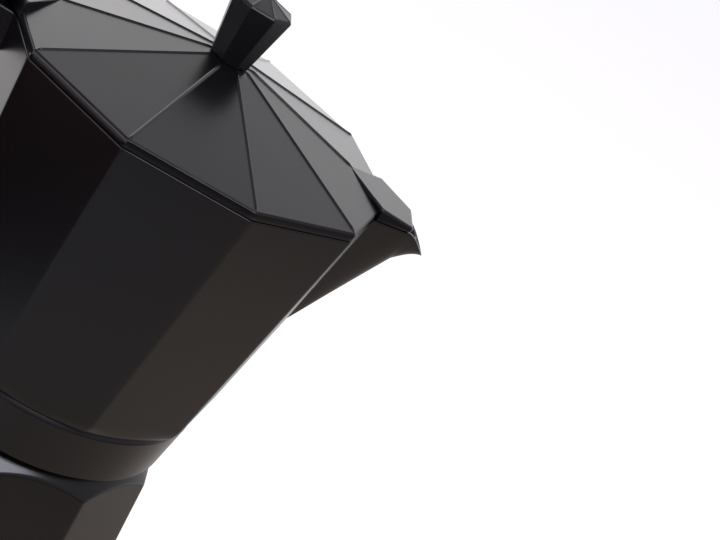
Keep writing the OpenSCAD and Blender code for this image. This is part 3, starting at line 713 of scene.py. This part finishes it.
class POT_OT_collector(bpy.types.Operator):
    """Build the painted collector: collar, faceted walls, spout, bracket and lugs"""

    bl_idname = "pot.collector"
    bl_label = "Collector"

    def execute(self, context):
        self.walls()
        self.spout()
        self.bracket()
        return {"FINISHED"}

    def rim_height(self, ring):
        """Height of the walls' top edge: the rim, dipping inside the spout's sheet. Height and
        place depend on each other, so they are worked out in turn until they settle."""
        height = np.full(len(ring), RIM_Z)
        for _ in range(40):
            x, y = chamber_r(height) * ring.T
            v = np.abs(y) / (lip_w(x) - SPOUT_WALL / 2)
            sheet = spout_point(x, np.clip(v, 0, 1), SPOUT_WALL / 2)[:, 2]
            height = np.where((v < 1) & (x > 0), np.minimum(RIM_Z, sheet), RIM_Z)
        return height

    def walls(self):
        """Collar and faceted walls as one closed profile, carried round the decagon. A quarter
        ellipse leads from the collar out to the walls."""
        middle_r = (WAIST_R + RIM_R) / 2
        ring = unit_polygon(SIDES, 0.0, sizes().edge_round / MM / middle_r, 22)
        share = stretch(ring)
        top = self.rim_height(ring)
        waist, waist_in = WAIST_Z + 0.9, COLLAR_TOP_R - 0.6
        turn = np.linspace(0, np.pi / 2, 9)[:, None]
        up = waist + WAIST_ROUND * (1 - np.cos(turn))
        inset = (chamber_r(waist) * share - waist_in) * (1 - np.sin(turn))
        foot = np.stack(np.broadcast_arrays(chamber_r(up) * share - inset, up + 0 * share), 1)
        low = FLOOR_Z + FLOOR_HOLLOW
        bore = NECK_R + THREAD_DEPTH + THREAD_GAP
        soft = sizes().rim_round / MM
        collar = rounded_rows([
            (bore + 0.7 + 0 * share, COLLAR_Z, 0), (COLLAR_LOW_R, COLLAR_Z, 0.5),
            (COLLAR_TOP_R, WAIST_Z, 0.45), (waist_in, waist, 0.5)])
        chamber = rounded_rows([
            (*foot[-1], 0), (chamber_r(top) * share, top, soft),
            (chamber_r(top) * share - CHAMBER_WALL, top, soft),
            (chamber_r(low) * share - CHAMBER_WALL, low, 4),
            (chamber_r(low) * share - FLOOR_INSET, FLOOR_Z, 5), (9.0, FLOOR_Z, 0),
            (COLUMN_BORE_R, FLOOR_Z, 0.3), (COLUMN_BORE_R, SEAT_Z + 1.05, 0),
            (SEAT_IN_R, SEAT_Z, 0), (SEAT_R, SEAT_Z, 0), (SEAT_R, NECK_TOP + THREAD_GAP, 0),
            (bore, NECK_TOP + THREAD_GAP, 0.2), (bore, COLLAR_Z + 0.7, 0)])
        profile = np.concatenate([collar[:-1], foot, chamber[1:]])
        add_piece("collector_casting", [(turned(profile, ring), *RING)],
                  "collector", "satin_black", replaced=["collector"])
        self.lining(ring, share, top, low)
        self.thread(bore)

    def lining(self, ring, share, top, low):
        """Bare metal inside the jug: a thin closed skin just proud of the painted walls."""
        thin, gap, hole = 0.3, 0.06, 5.5
        inner = CHAMBER_WALL + gap
        floor_r = chamber_r(low) * share - FLOOR_INSET
        rows = rounded_rows([
            (chamber_r(top) * share - inner, top - 0.5, 0),
            (chamber_r(low) * share - inner, low, 4),
            (floor_r - gap, FLOOR_Z + gap, 5), (hole, FLOOR_Z + gap, 0),
            (hole, FLOOR_Z - thin, 0), (floor_r + thin, FLOOR_Z - thin, 5),
            (chamber_r(low) * share - inner + thin, low, 4),
            (chamber_r(top) * share - inner + thin, top - 0.5, 0)])
        add_piece("collector_lining", [(turned(rows, ring), *RING)], "collector", "bare_aluminium")

    def thread(self, bore):
        """The collar's own thread, half a pitch below the boiler's."""
        start = BOILER_H + THREAD_MARGIN - THREAD_PITCH / 2
        first = (COLLAR_Z + THREAD_MARGIN + 0.15 - start) / THREAD_PITCH
        last = (NECK_TOP - THREAD_MARGIN + 0.6 - start) / THREAD_PITCH
        ridge = helix_ridge(bore, NECK_R + THREAD_GAP, start, first, last)
        add_piece("collector_thread", [(ridge, *BAR)], "collector", "bare_aluminium")

    def spout(self):
        """The spout's sheet: outside, lip and inside, from within the wall to the tip."""
        across = np.sin(np.pi / 2 * np.linspace(-1, 1, 61))
        along = np.linspace(0, 1, 56)[:, None] ** 0.8

        def skin(thin, depth, v):
            """The sheet `thin` inside itself, from a depth inside the wall to the tip. Its
            start and the wall depend on each other, as in rim_height."""
            x = np.full(len(v), SPOUT_ROOT_X)
            for _ in range(60):
                point = spout_point(x, v, thin)
                x = wall_x(point[:, 1], point[:, 2], depth)
            return spout_point(blend(x, SPOUT_REACH, along), v + 0 * along, thin)

        outside = skin(0.0, SPOUT_SINK, across)
        inside = skin(SPOUT_WALL, CHAMBER_WALL + 0.25, across[::-1])
        turn = np.linspace(0, np.pi, 7)[1:-1, None]

        def lip(a, b):
            """Half round between two edges, swollen upwards by a third of their distance."""
            rise = np.linalg.norm(a - b, axis=-1)[None] / 3 * np.sin(turn)
            bead = blend(a[None], b[None], (1 - np.cos(turn))[..., None] / 2)
            bead[..., 2] += rise
            return bead.transpose(1, 0, 2)

        loop = np.concatenate([outside, lip(outside[:, -1], inside[:, 0]),
                               inside, lip(inside[:, -1], outside[:, 0])], 1)
        root = np.stack([outside[0], inside[0, ::-1]])
        add_piece("collector_spout", [(loop, *TURNED), (root, *STRIP)],
                  "collector", "satin_black", sharp=60)

    def bracket(self):
        """Bracket, two lugs round the hinge pin and the handle's tang, as rounded plates. The
        first three end halfway through the walls. The bracket is a step narrower than its lugs,
        so that no two faces lie in one plane."""
        root, foot, tang_top, tang_low = -44.0, RIM_Z - 10.2, RIM_Z - 5, RIM_Z - 16
        body = [(root, RIM_Z - 3), (-BRACKET_X + 0.9, RIM_Z - 3), (-BRACKET_X, RIM_Z - 3.5),
                (-BRACKET_X, tang_low - 2), (-BRACKET_X + 5.5, foot), (root, foot)]
        turn = np.linspace(0, np.pi, 9)
        arch = [(PIN_X + KNUCKLE_R * math.cos(t), PIN_Z + KNUCKLE_R * math.sin(t)) for t in turn]
        lug = arch + [(PIN_X - KNUCKLE_R, RIM_Z - 1), (-BRACKET_X, RIM_Z - 3.5),
                      (-BRACKET_X + 3, RIM_Z - 8), (root, RIM_Z - 8), (root, RIM_Z - 0.2),
                      (PIN_X + KNUCKLE_R, RIM_Z - 0.2)]
        wide, inner = BRACKET_W - PLATE_STEP, KNUCKLE_W + LUG_GAP
        grids = [(slab(body, -wide, wide, 1.0, 1.2), *BAR),
                 (slab(lug, -BRACKET_W, -inner, 0.6, 0.5), *BAR),
                 (slab(lug, inner, BRACKET_W, 0.6, 0.5), *BAR)]
        for grid, *_ in grids:
            middle = -wall_x(grid[..., 1], grid[..., 2], CHAMBER_WALL / 2)
            grid[..., 0] = np.minimum(grid[..., 0], middle)
        tang = [(-BRACKET_X + 1, tang_low), (-BRACKET_X + 1, tang_top),
                (-BRACKET_X - TANG_L, tang_top), (-BRACKET_X - TANG_L, tang_low)]
        grids.append((slab(tang, -TANG_W, TANG_W, 0.5, 0.6), *BAR))
        add_piece("collector_bracket", grids, "collector", "satin_black")


# ---------------------------------------------------------------- lid


def on_lid(x):
    """Height of the facets at distance x along a corner."""
    return LID_Z + LID_RISE * (1 - x / LID_R)


def wedge_edge(start, side, width):
    """How fast a wedge widens from its point at `start` to its width at `side`, and where its
    outline crosses the lid's edge."""
    spread = width / (side - start)
    return spread, (LID_R + spread * SIDE_TAN * start) / (1 + spread * SIDE_TAN)


class POT_OT_lid(bpy.types.Operator):
    """Build the painted lid: ribbed pyramid, creased edge, visor, rear wedge and knuckle"""

    bl_idname = "pot.lid"
    bl_label = "Lid"

    def execute(self, context):
        grids = [(self.pyramid(), *RING), (self.visor(), *BAR), (self.rear_wedge(), *BAR),
                 *self.knuckle()]
        add_piece("lid_casting", grids, "lid", "satin_black", replaced=["lid"], sharp=50, flat=50)
        return {"FINISHED"}

    def profile(self):
        """Corner radius, height and a share of ribs for each row of the lid's closed profile.
        Its edge is a crease, a low bead and a round, whose heights grow with the crease's
        depth."""
        deep = sizes().crease_depth / CREASE_DEPTH
        low, inner = RIM_Z + 0.1, LID_R - 2.6
        hub, hub_z, hole = 7.2, KNOB_Z - 2.6, 1.6
        top = np.concatenate([np.linspace(KNOB_REST_R, LID_R - 6, 22),
                              np.linspace(LID_R - 5, LID_R - 0.7, 10), [LID_R - 0.4]])
        rows = [(r, on_lid(r), 1.0) for r in top]
        # How far inside the lid's corner radius, and how high over its plane
        crease = [(0.32, 0.07), (0.29, 0.04), (0.26, -0.1), (0.23, -0.2), (0.2, -0.23),
                  (0.16, -0.22), (0.12, -0.225), (0.08, -0.25), (0.04, -0.32), (0.01, -0.45),
                  (0.0, -0.65), (0.0, -1.1)]
        rows += [(LID_R - inside, LID_Z + z * deep, 0.0) for inside, z in crease]
        rows += [(r, z, 0.0) for r, z in [
            (LID_R, low + 0.15), (LID_R - 0.15, low), (inner, low),
            (inner, LID_Z - LID_WALL + 0.3), (LID_R - 6, on_lid(LID_R - 6) - LID_WALL),
            (8.0, on_lid(8.0) - LID_WALL), (hub, hub_z), (hole, hub_z), (hole, KNOB_Z)]]
        return (np.array(column)[:, None] for column in zip(*rows))

    def pyramid(self):
        """The profile carried round the decagon, with a rib along each corner of its top.

        A rib is a low ridge across the corner line, 0.65 t plus 0.35 of t eased, where t falls
        from 1 to 0 along the edge in millimetres, so it keeps its width. Ribs end before the
        edge and at the two wedges.
        """
        r, z, ribbed = self.profile()
        half = sizes().rib_width / MM / 2
        near = np.concatenate([np.linspace(0, half, 11), [half * 1.2, half * 2.4]])
        edge = 2 * r * math.sin(math.pi / SIDES)
        near_in = np.minimum(near[None], edge * 0.3)
        mid = edge * np.linspace(0.35, 0.65, 5)[None]
        along = np.concatenate([near_in, mid, (edge - near_in)[:, :0:-1]], 1)
        from_corner = np.minimum(along, edge - along)
        end = np.full(SIDES, RIB_END_R)
        end[0], end[SIDES // 2] = VISOR_IN + 0.3, WEDGE_IN + 0.6
        nearest = np.where(along < edge / 2, end[:, None, None], np.roll(end, -1)[:, None, None])
        fade = ribbed * smooth((nearest - r) / 0.4)
        rise = np.clip(1 - from_corner / half, 0, 1)
        bead = 0.65 * rise + 0.35 * smooth(rise)
        rib = sizes().rib_height / MM * (fade * bead).transpose(1, 0, 2)
        turn = np.arange(SIDES) * 2 * np.pi / SIDES
        corner = np.stack([np.cos(turn), np.sin(turn)], -1)
        onward = np.roll(corner, -1, 0) - corner
        share = (along / edge)[:, None, :, None]
        flat = r[:, :, None, None] * (corner[None, :, None] + share * onward[None, :, None])
        flat[-3:, ..., 0] += KNOB_X  # the hub and the screw's hole follow the knob
        height = z[:, :, None] + rib + 0 * flat[..., 0]
        return np.concatenate([flat, height[..., None]], -1).reshape(len(r), -1, 3)

    def raised(self, stations, half_width, top, low, foot):
        """A raised wedge: closed sections across Y carried outwards along X.

        Each section has a flat top, rounded shoulders, walls that lean out by `lean` for each
        millimetre of depth and, where `foot` is above 0, a hollow foot that runs out onto the
        facets beside it. Its points are then spaced evenly along it.
        """
        lean, soft = 0.03, 0.5
        even = np.linspace(0, 1, 40)
        sections = []
        for x, wide, up, down, facet in zip(stations, half_width, top, low, foot):
            depth = max(up - down, 0.3)
            shoulder = min(soft, depth * 0.45, wide * 0.9)
            if facet > 0:
                rest = max(up - facet, 0.01)
                wall = wide + lean * rest
                knots = [(0.0, up, 0), (wide, up, min(shoulder, rest * 0.5)),
                         (wall, facet + 0.01, min(0.2, rest * 0.4)),
                         (wall + 0.25, facet - 0.12, 0), (0.0, down, 0)]
            else:
                knots = [(0.0, up, 0), (wide, up, shoulder),
                         (wide + lean * depth, down, min(0.3, depth * 0.3)), (0.0, down, 0)]
            profile = rounded_rows(knots)[:, :, 0]
            reach = np.cumsum(np.linalg.norm(np.diff(profile, axis=0, prepend=profile[:1]), axis=1))
            side = np.stack([np.interp(even * reach[-1], reach, profile[:, i]) for i in (0, 1)], -1)
            loop = np.concatenate([side, (side * [-1, 1])[::-1][1:-1]])
            sections.append(np.column_stack([np.full(len(loop), x), loop]))
        return np.array(sections)

    def visor(self):
        """Wedge over the spout: a flat top that falls outwards from a point on the facets, and
        a front edge that follows a quarter circle."""
        kink, nose = LID_R * FLAT, 0.7
        spread, crossing = wedge_edge(VISOR_IN, kink, VISOR_W)
        x = np.concatenate([
            np.linspace(VISOR_IN + 0.05, crossing - 0.12, 22), [crossing - 0.04],
            np.linspace(kink, VISOR_OUT - nose, 14),
            VISOR_OUT - nose + nose * np.sin(np.linspace(0, np.pi / 2, 6))[1:]])
        width = np.where(x < kink, spread * (x - VISOR_IN),
                         blend(VISOR_W, VISOR_TIP_W, (x - kink) / (VISOR_OUT - kink)))
        into = np.clip((x - VISOR_OUT + nose) / nose, 0, 1)
        sink = nose * (1 - np.sqrt(1 - into ** 2))
        top = on_lid(VISOR_IN) - VISOR_FALL * (x - VISOR_IN)
        foot = np.where(x < crossing - 0.1, on_lid(x + width * SIDE_TAN), -1)
        low = np.where(foot > 0, np.minimum(foot, top) - 1.2, RIM_Z + 0.3)
        return self.raised(x, np.maximum(width - sink, 0.05), top - sink, low + sink, foot)

    def rear_wedge(self):
        """Wedge at the hinge: a nearly level top from a point on the facets to the knuckle."""
        side = LID_R * FLAT - 1.5
        end = -PIN_X - KNUCKLE_R - 0.6
        spread, crossing = wedge_edge(WEDGE_IN, side, WEDGE_W)
        x = np.concatenate([np.linspace(WEDGE_IN + 0.05, crossing - 0.12, 18), [crossing - 0.04],
                            np.linspace(crossing + 0.2, end, 12)])
        width = np.where(x < side, spread * (x - WEDGE_IN),
                         blend(WEDGE_W, KNUCKLE_W, (x - side) / (end - side)))
        top = on_lid(WEDGE_IN) - WEDGE_FALL * (x - WEDGE_IN)
        foot = np.where(x < crossing - 0.1, on_lid(x + width * SIDE_TAN), -1)
        low = np.where(foot > 0, np.minimum(foot, top) - 1.2, RIM_Z + 0.5)
        return self.raised(x, width, top, low, foot) * [-1, 1, 1]

    def knuckle(self):
        """Tongue, and barrel round the hinge pin, as rounded plates. The tongue is a step
        narrower than the barrel."""
        top = on_lid(WEDGE_IN)
        tongue = [(-44.5, LID_Z - 2.0), (-44.5, top - 1.0), (-47, top - 0.75),
                  (PIN_X, PIN_Z + KNUCKLE_R - 0.1), (PIN_X, LID_Z - 2.0)]
        turn = np.linspace(0, 2 * np.pi, 40, endpoint=False)
        barrel = [(PIN_X + KNUCKLE_R * math.cos(t), PIN_Z + KNUCKLE_R * math.sin(t)) for t in turn]
        wide = KNUCKLE_W - PLATE_STEP
        return [(slab(tongue[::-1], -wide, wide, 0.4, 0.6), *BAR),
                (slab(barrel, -KNUCKLE_W, KNUCKLE_W, 0.4, 0.1), *BAR)]


# ---------------------------------------------------------------- knob and handle


class POT_OT_knob(bpy.types.Operator):
    """Build the moulded eight-sided knob with its ribbed, pointed cap"""

    bl_idname = "pot.knob"
    bl_label = "Knob"

    def execute(self, context):
        # A profile carried round the octagon; a fine rib rises along each corner of its cap
        ring = unit_polygon(KNOB_SIDES, math.pi / KNOB_SIDES, 0.035, 8)
        share = stretch(ring)
        rib_h, rib_share = 0.1, 0.06
        rows = rounded_rows([
            (KNOB_BORE_R, KNOB_Z, 0), (KNOB_FOOT_R * share, KNOB_Z, 0.3),
            (KNOB_TOP_R * share, KNOB_EDGE_Z - 0.5, 0.22),
            ((KNOB_TOP_R - 0.5) * share, KNOB_EDGE_Z, 0.2),
            (0.4 * share, KNOB_TOP_Z, 0.3), (0.0, KNOB_TOP_Z, 0)])
        grid = turned(rows, ring)
        cap = (grid[..., 2] > KNOB_EDGE_Z - 0.1) & (np.hypot(grid[..., 0], grid[..., 1]) > 0.5)
        corner = np.abs((np.arctan2(ring[:, 1], ring[:, 0]) / (2 * np.pi / KNOB_SIDES)) % 1 - 0.5)
        grid[..., 2] += cap * rib_h * (1 - smooth(corner / rib_share))
        grid[..., 0] += KNOB_X
        add_piece("knob_moulding", [(grid, *TURNED)], "lid", "moulded_black",
                  replaced=["knob"], sharp=45)
        return {"FINISHED"}


class POT_OT_handle(bpy.types.Operator):
    """Build the moulded handle: an arm over the tang that bends down into the grip"""

    bl_idname = "pot.handle"
    bl_label = "Handle"

    def execute(self, context):
        arm, low = BRACKET_X + 0.3, 99.0
        mid = RIM_Z - 10.5
        # Distance out, height, tilt in degrees, width and thickness of each station
        stations = np.array([
            (arm, mid + 0.5, 0, 18.8, 20.0), (arm + 8, mid + 1, 0, 18.8, 19.4),
            (arm + 15, mid + 1.6, 0, 17.4, 17.4), (86.0, mid + 1.6, -12, 16.0, 15.5),
            (93.5, mid - 0.8, -36, 15.0, 15.4), (97.0, mid - 8, -66, 15.0, 14.1),
            (98.7, mid - 20, -82, 15.0, 12.5), (99.95, mid - 39.8, -83, 15.0, 12.5),
            (102.2, mid - 57, -83, 17.4, 12.5), (104.0, low, -80, 19.0, 13.5)])
        # Sections are superellipses, cosine and sine each raised to a power, which shrink over
        # the last few at both ends
        count, power, rounded = 90, 0.42, 3
        along = self.eased(stations, np.linspace(0, len(stations) - 1, count))
        out, up, tilt, width, depth = along.T[..., None]
        turn = np.linspace(0, 2 * np.pi, 72, endpoint=False)
        wave = np.stack([np.cos(turn), np.sin(turn)])
        ring = np.sign(wave) * np.abs(wave) ** power / 2
        end = np.minimum(np.arange(count), np.arange(count)[::-1])
        shrink = 1 - 0.11 * (1 - np.minimum(end, rounded)[:, None] / rounded) ** 2
        across, thick = width * shrink * ring[0], depth * shrink * ring[1]
        tilt = np.radians(tilt)
        grid = np.stack([thick * np.sin(tilt) - out, across, up + thick * np.cos(tilt)], -1)
        add_piece("handle_moulding", [(grid, *BAR)], "collector", "moulded_black",
                  replaced=["handle"], sharp=50)
        return {"FINISHED"}

    def eased(self, stations, t):
        """Catmull-Rom curve through the stations at the places t."""
        k = np.clip(t.astype(int), 0, len(stations) - 2)
        u = (t - k)[:, None]
        padded = np.concatenate([[2 * stations[0] - stations[1]], stations,
                                 [2 * stations[-1] - stations[-2]]])
        a, b, c, d = (padded[k + i] for i in range(4))
        return 0.5 * (2 * b + (c - a) * u + (2 * a - 5 * b + 4 * c - d) * u ** 2
                      + (3 * b - a - 3 * c + d) * u ** 3)


class POT_OT_small_parts(bpy.types.Operator):
    """Give the metal, rubber and fibre parts their finishes"""

    bl_idname = "pot.small_parts"
    bl_label = "Small Parts"

    def execute(self, context):
        finishes = (
            (aluminium(), ("funnel", "funnel_sieve", "filter_plate", "riser_column")),
            (brass(), ("valve_body", "valve_nut", "valve_cap", "knob_insert")),
            (steel(), ("valve_plunger", "valve_spring", "hinge_pin", "handle_pin", "knob_washer",
                       "knob_screw")),
            (soft_ring("silicone", (0.75, 0.73, 0.68), 0.5), ("gasket",)),
            (soft_ring("red_fibre", (0.3, 0.06, 0.04), 0.7), ("valve_gasket", "valve_seal")),
        )
        for finish, names in finishes:
            for name in names:
                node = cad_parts[name]
                node.data.materials.clear()
                node.data.materials.append(finish)
        return {"FINISHED"}


# ---------------------------------------------------------------- stage


# Turns and heights above the horizon in degrees, places in metres, the lens in millimetres
BRIGHT_TURN = 100.0
BRIGHT_HEIGHT = 8.0
LAMP_TURN = -68.0
LAMP_HEIGHT = 57.0
LAMP_AIM = (0, -0.04, 0.1)
LAMP_DISTANCE = 1.1
CAMERA_TURN = -13.543
CAMERA_HEIGHT = 18.7
CAMERA_ROLL = 34.746
CAMERA_PLACE = (-0.058, -0.4117, 0.3258)
CAMERA_SENSOR = 36.0
CAMERA_LENS = 95.0665
CAMERA_SHIFT = -0.125


def direction(turn, height):
    """The way to a point of the sky, by its turn from +X and its height above the horizon."""
    turn, height = math.radians(turn), math.radians(height)
    return Vector((math.cos(turn) * math.cos(height), math.sin(turn) * math.cos(height),
                   math.sin(height)))


class POT_OT_stage(bpy.types.Operator):
    """Set the floor, the soft light, the world and the camera"""

    bl_idname = "pot.stage"
    bl_label = "Stage"

    def execute(self, context):
        context.scene.view_settings.view_transform = "Standard"
        self.floor(context.scene)
        self.world(context.scene)
        self.light(context.scene)
        self.camera(context.scene)
        return {"FINISHED"}

    def floor(self, scene):
        """A pale floor that keeps the pot's shadow. In reflections it has the tones of a dim
        room with light behind the pot, laid over each other in the order given."""
        size = 4.0
        mesh = bpy.data.meshes.new("floor")
        corners = [(-size, -size, 0), (size, -size, 0), (size, size, 0), (-size, size, 0)]
        mesh.from_pydata(corners, [], [(0, 1, 2, 3)])
        material, board = new_material("floor")
        x, y = board.axes(board.place())
        far = (x * x + y * y) ** 0.5
        warm = board.mix(far.ramp(0.12, 0.2), (0.35, 0.3, 0.27, 1), (0.46, 0.39, 0.345, 1))
        gloom = board.mix(far.ramp(0.25, 0.32), (0.01, 0.008, 0.008, 1), (0.06, 0.008, 0.01, 1))
        front_left = x * -0.588 + y * -0.809
        tones = (
            # Cooler on the left, and in front other than on the right
            (x.ramp(0.02, -0.05) + x.ramp(0.09, 0.05) * y.ramp(-0.13, -0.25),
             (0.38, 0.365, 0.4, 1)),
            # Dark far away, and grey far to the right
            (far.ramp(0.18, 0.6), (0.05, 0.042, 0.042, 1)),
            (x.ramp(0.4, 0.55), (0.13, 0.12, 0.14, 1)),
            # Light behind the pot, brighter on the left and far behind
            (y.ramp(-0.03, 0.35), (0.95, 0.94, 0.95, 1)),
            (x.ramp(-0.1, -0.2) * y.ramp(0.1, 0.3), (1.12, 1.08, 1.08, 1)),
            (y.ramp(0.35, 1.0), (1.6, 1.58, 1.6, 1)),
            # Gloom on the left, and a glare past a straight line in front of it
            (x.ramp(-0.15, -0.2) * y.ramp(0.2, 0.05), gloom),
            (front_left.ramp(0.53, 0.534) * x.ramp(-0.43, -0.45), (2.6, 2.55, 2.7, 1)),
        )
        tone = warm
        for share, colour in tones:
            tone = board.mix(share, tone, colour)
        seen = board.node("ShaderNodeEmission", {}, {"Color": tone, "Strength": 1.0})
        pale = board.node("ShaderNodeBsdfDiffuse", {}, {"Color": (0.93, 0.93, 0.93, 1)})
        glow = board.node("ShaderNodeEmission", {}, {"Color": (1, 1, 1, 1), "Strength": 0.45})
        shown = board.node("ShaderNodeAddShader", {}, {0: pale.outputs[0], 1: glow.outputs[0]})
        board.node("ShaderNodeOutputMaterial", {},
                   {"Surface": board.choice("Is Glossy Ray", shown, seen)})
        mesh.materials.append(material)
        floor = bpy.data.objects.new("floor", mesh)
        scene.collection.objects.link(floor)

    def world(self, scene):
        """White surroundings to the camera. For light and reflections they are grey, paler
        behind other than on the left, with a bright lobe low behind: a cosine to the sixth
        power."""
        world = bpy.data.worlds.new("studio")
        world.use_nodes = True
        board = Board(world.node_tree)
        way = board.node("ShaderNodeTexCoord").outputs["Generated"]
        right, behind = board.axes(way)
        towards = Value(board, board.node(
            "ShaderNodeVectorMath", {"operation": "DOT_PRODUCT"},
            {0: way, 1: direction(BRIGHT_TURN, BRIGHT_HEIGHT)}).outputs["Value"])
        lobe = board.maths("MAXIMUM", towards, 0.0) ** 6 * 1.2
        strength = 0.37 + behind.ramp(-0.1, 0.8) * right.ramp(-0.75, -0.25) * 0.38 + lobe
        tint = board.mix(towards.ramp(0.6, 0.85), (1, 0.963, 1.05, 1), (1, 0.98, 1, 1))
        studio = board.node("ShaderNodeBackground", {}, {"Color": tint, "Strength": strength})
        plain = board.node("ShaderNodeBackground", {}, {"Color": (1, 1, 1, 1), "Strength": 1.0})
        board.node("ShaderNodeOutputWorld", {},
                   {"Surface": board.choice("Is Camera Ray", studio, plain)})
        scene.world = world

    def light(self, scene):
        """One soft box above and in front."""
        lamp = bpy.data.lights.new("soft_box", "AREA")
        lamp.shape = "RECTANGLE"
        lamp.size, lamp.size_y = 0.6, 0.36
        lamp.energy = 5.5
        lamp.color = (0.86, 0.87, 1.0)
        way = direction(LAMP_TURN, LAMP_HEIGHT)
        box = bpy.data.objects.new("soft_box", lamp)
        box.location = Vector(LAMP_AIM) + way * LAMP_DISTANCE
        box.rotation_mode = "QUATERNION"
        box.rotation_quaternion = way.to_track_quat("Z", "Y")
        scene.collection.objects.link(box)

    def camera(self, scene):
        """A long lens from the front left, rolled so that the pot leans to the right."""
        back = direction(CAMERA_TURN - 90, CAMERA_HEIGHT)
        right = direction(CAMERA_TURN, 0)
        up = back.cross(right)
        roll = math.radians(CAMERA_ROLL)
        rolled_right = right * math.cos(roll) + up * math.sin(roll)
        rolled_up = up * math.cos(roll) - right * math.sin(roll)
        lens = bpy.data.cameras.new("camera")
        lens.sensor_width, lens.lens = CAMERA_SENSOR, CAMERA_LENS
        lens.shift_y = CAMERA_SHIFT
        lens.clip_start, lens.clip_end = 0.01, 20
        camera = bpy.data.objects.new("camera", lens)
        turn = Matrix((rolled_right, rolled_up, back)).transposed()
        camera.matrix_world = Matrix.Translation(CAMERA_PLACE) @ turn.to_4x4()
        scene.collection.objects.link(camera)
        scene.camera = camera


OPERATORS = (POT_OT_boiler, POT_OT_collector, POT_OT_lid, POT_OT_knob, POT_OT_handle,
             POT_OT_small_parts, POT_OT_stage)


class POT_PT_panel(bpy.types.Panel):
    """Lists the pot's pieces and their sizes and colours"""

    bl_idname = "POT_PT_panel"
    bl_label = "Moka Pot"
    bl_space_type = "VIEW_3D"
    bl_region_type = "UI"
    bl_category = "Moka Pot"

    def draw(self, context):
        for group in (context.scene.pot_sizes, context.scene.pot_colours):
            for name in group.__annotations__:
                self.layout.prop(group, name)
        for operator in OPERATORS:
            self.layout.operator(operator.bl_idname)


CLASSES = (PotSizes, PotColours, *OPERATORS, POT_PT_panel)


def register():
    for cls in CLASSES:
        bpy.utils.register_class(cls)
    bpy.types.Scene.pot_sizes = bpy.props.PointerProperty(type=PotSizes)
    bpy.types.Scene.pot_colours = bpy.props.PointerProperty(type=PotColours)


def unregister():
    del bpy.types.Scene.pot_colours
    del bpy.types.Scene.pot_sizes
    for cls in reversed(CLASSES):
        bpy.utils.unregister_class(cls)


def main():
    register()
    for operator in OPERATORS:
        group, name = operator.bl_idname.split(".")
        getattr(getattr(bpy.ops, group), name)()
    bpy.context.view_layer.update()


if __name__ == "__main__":
    main()
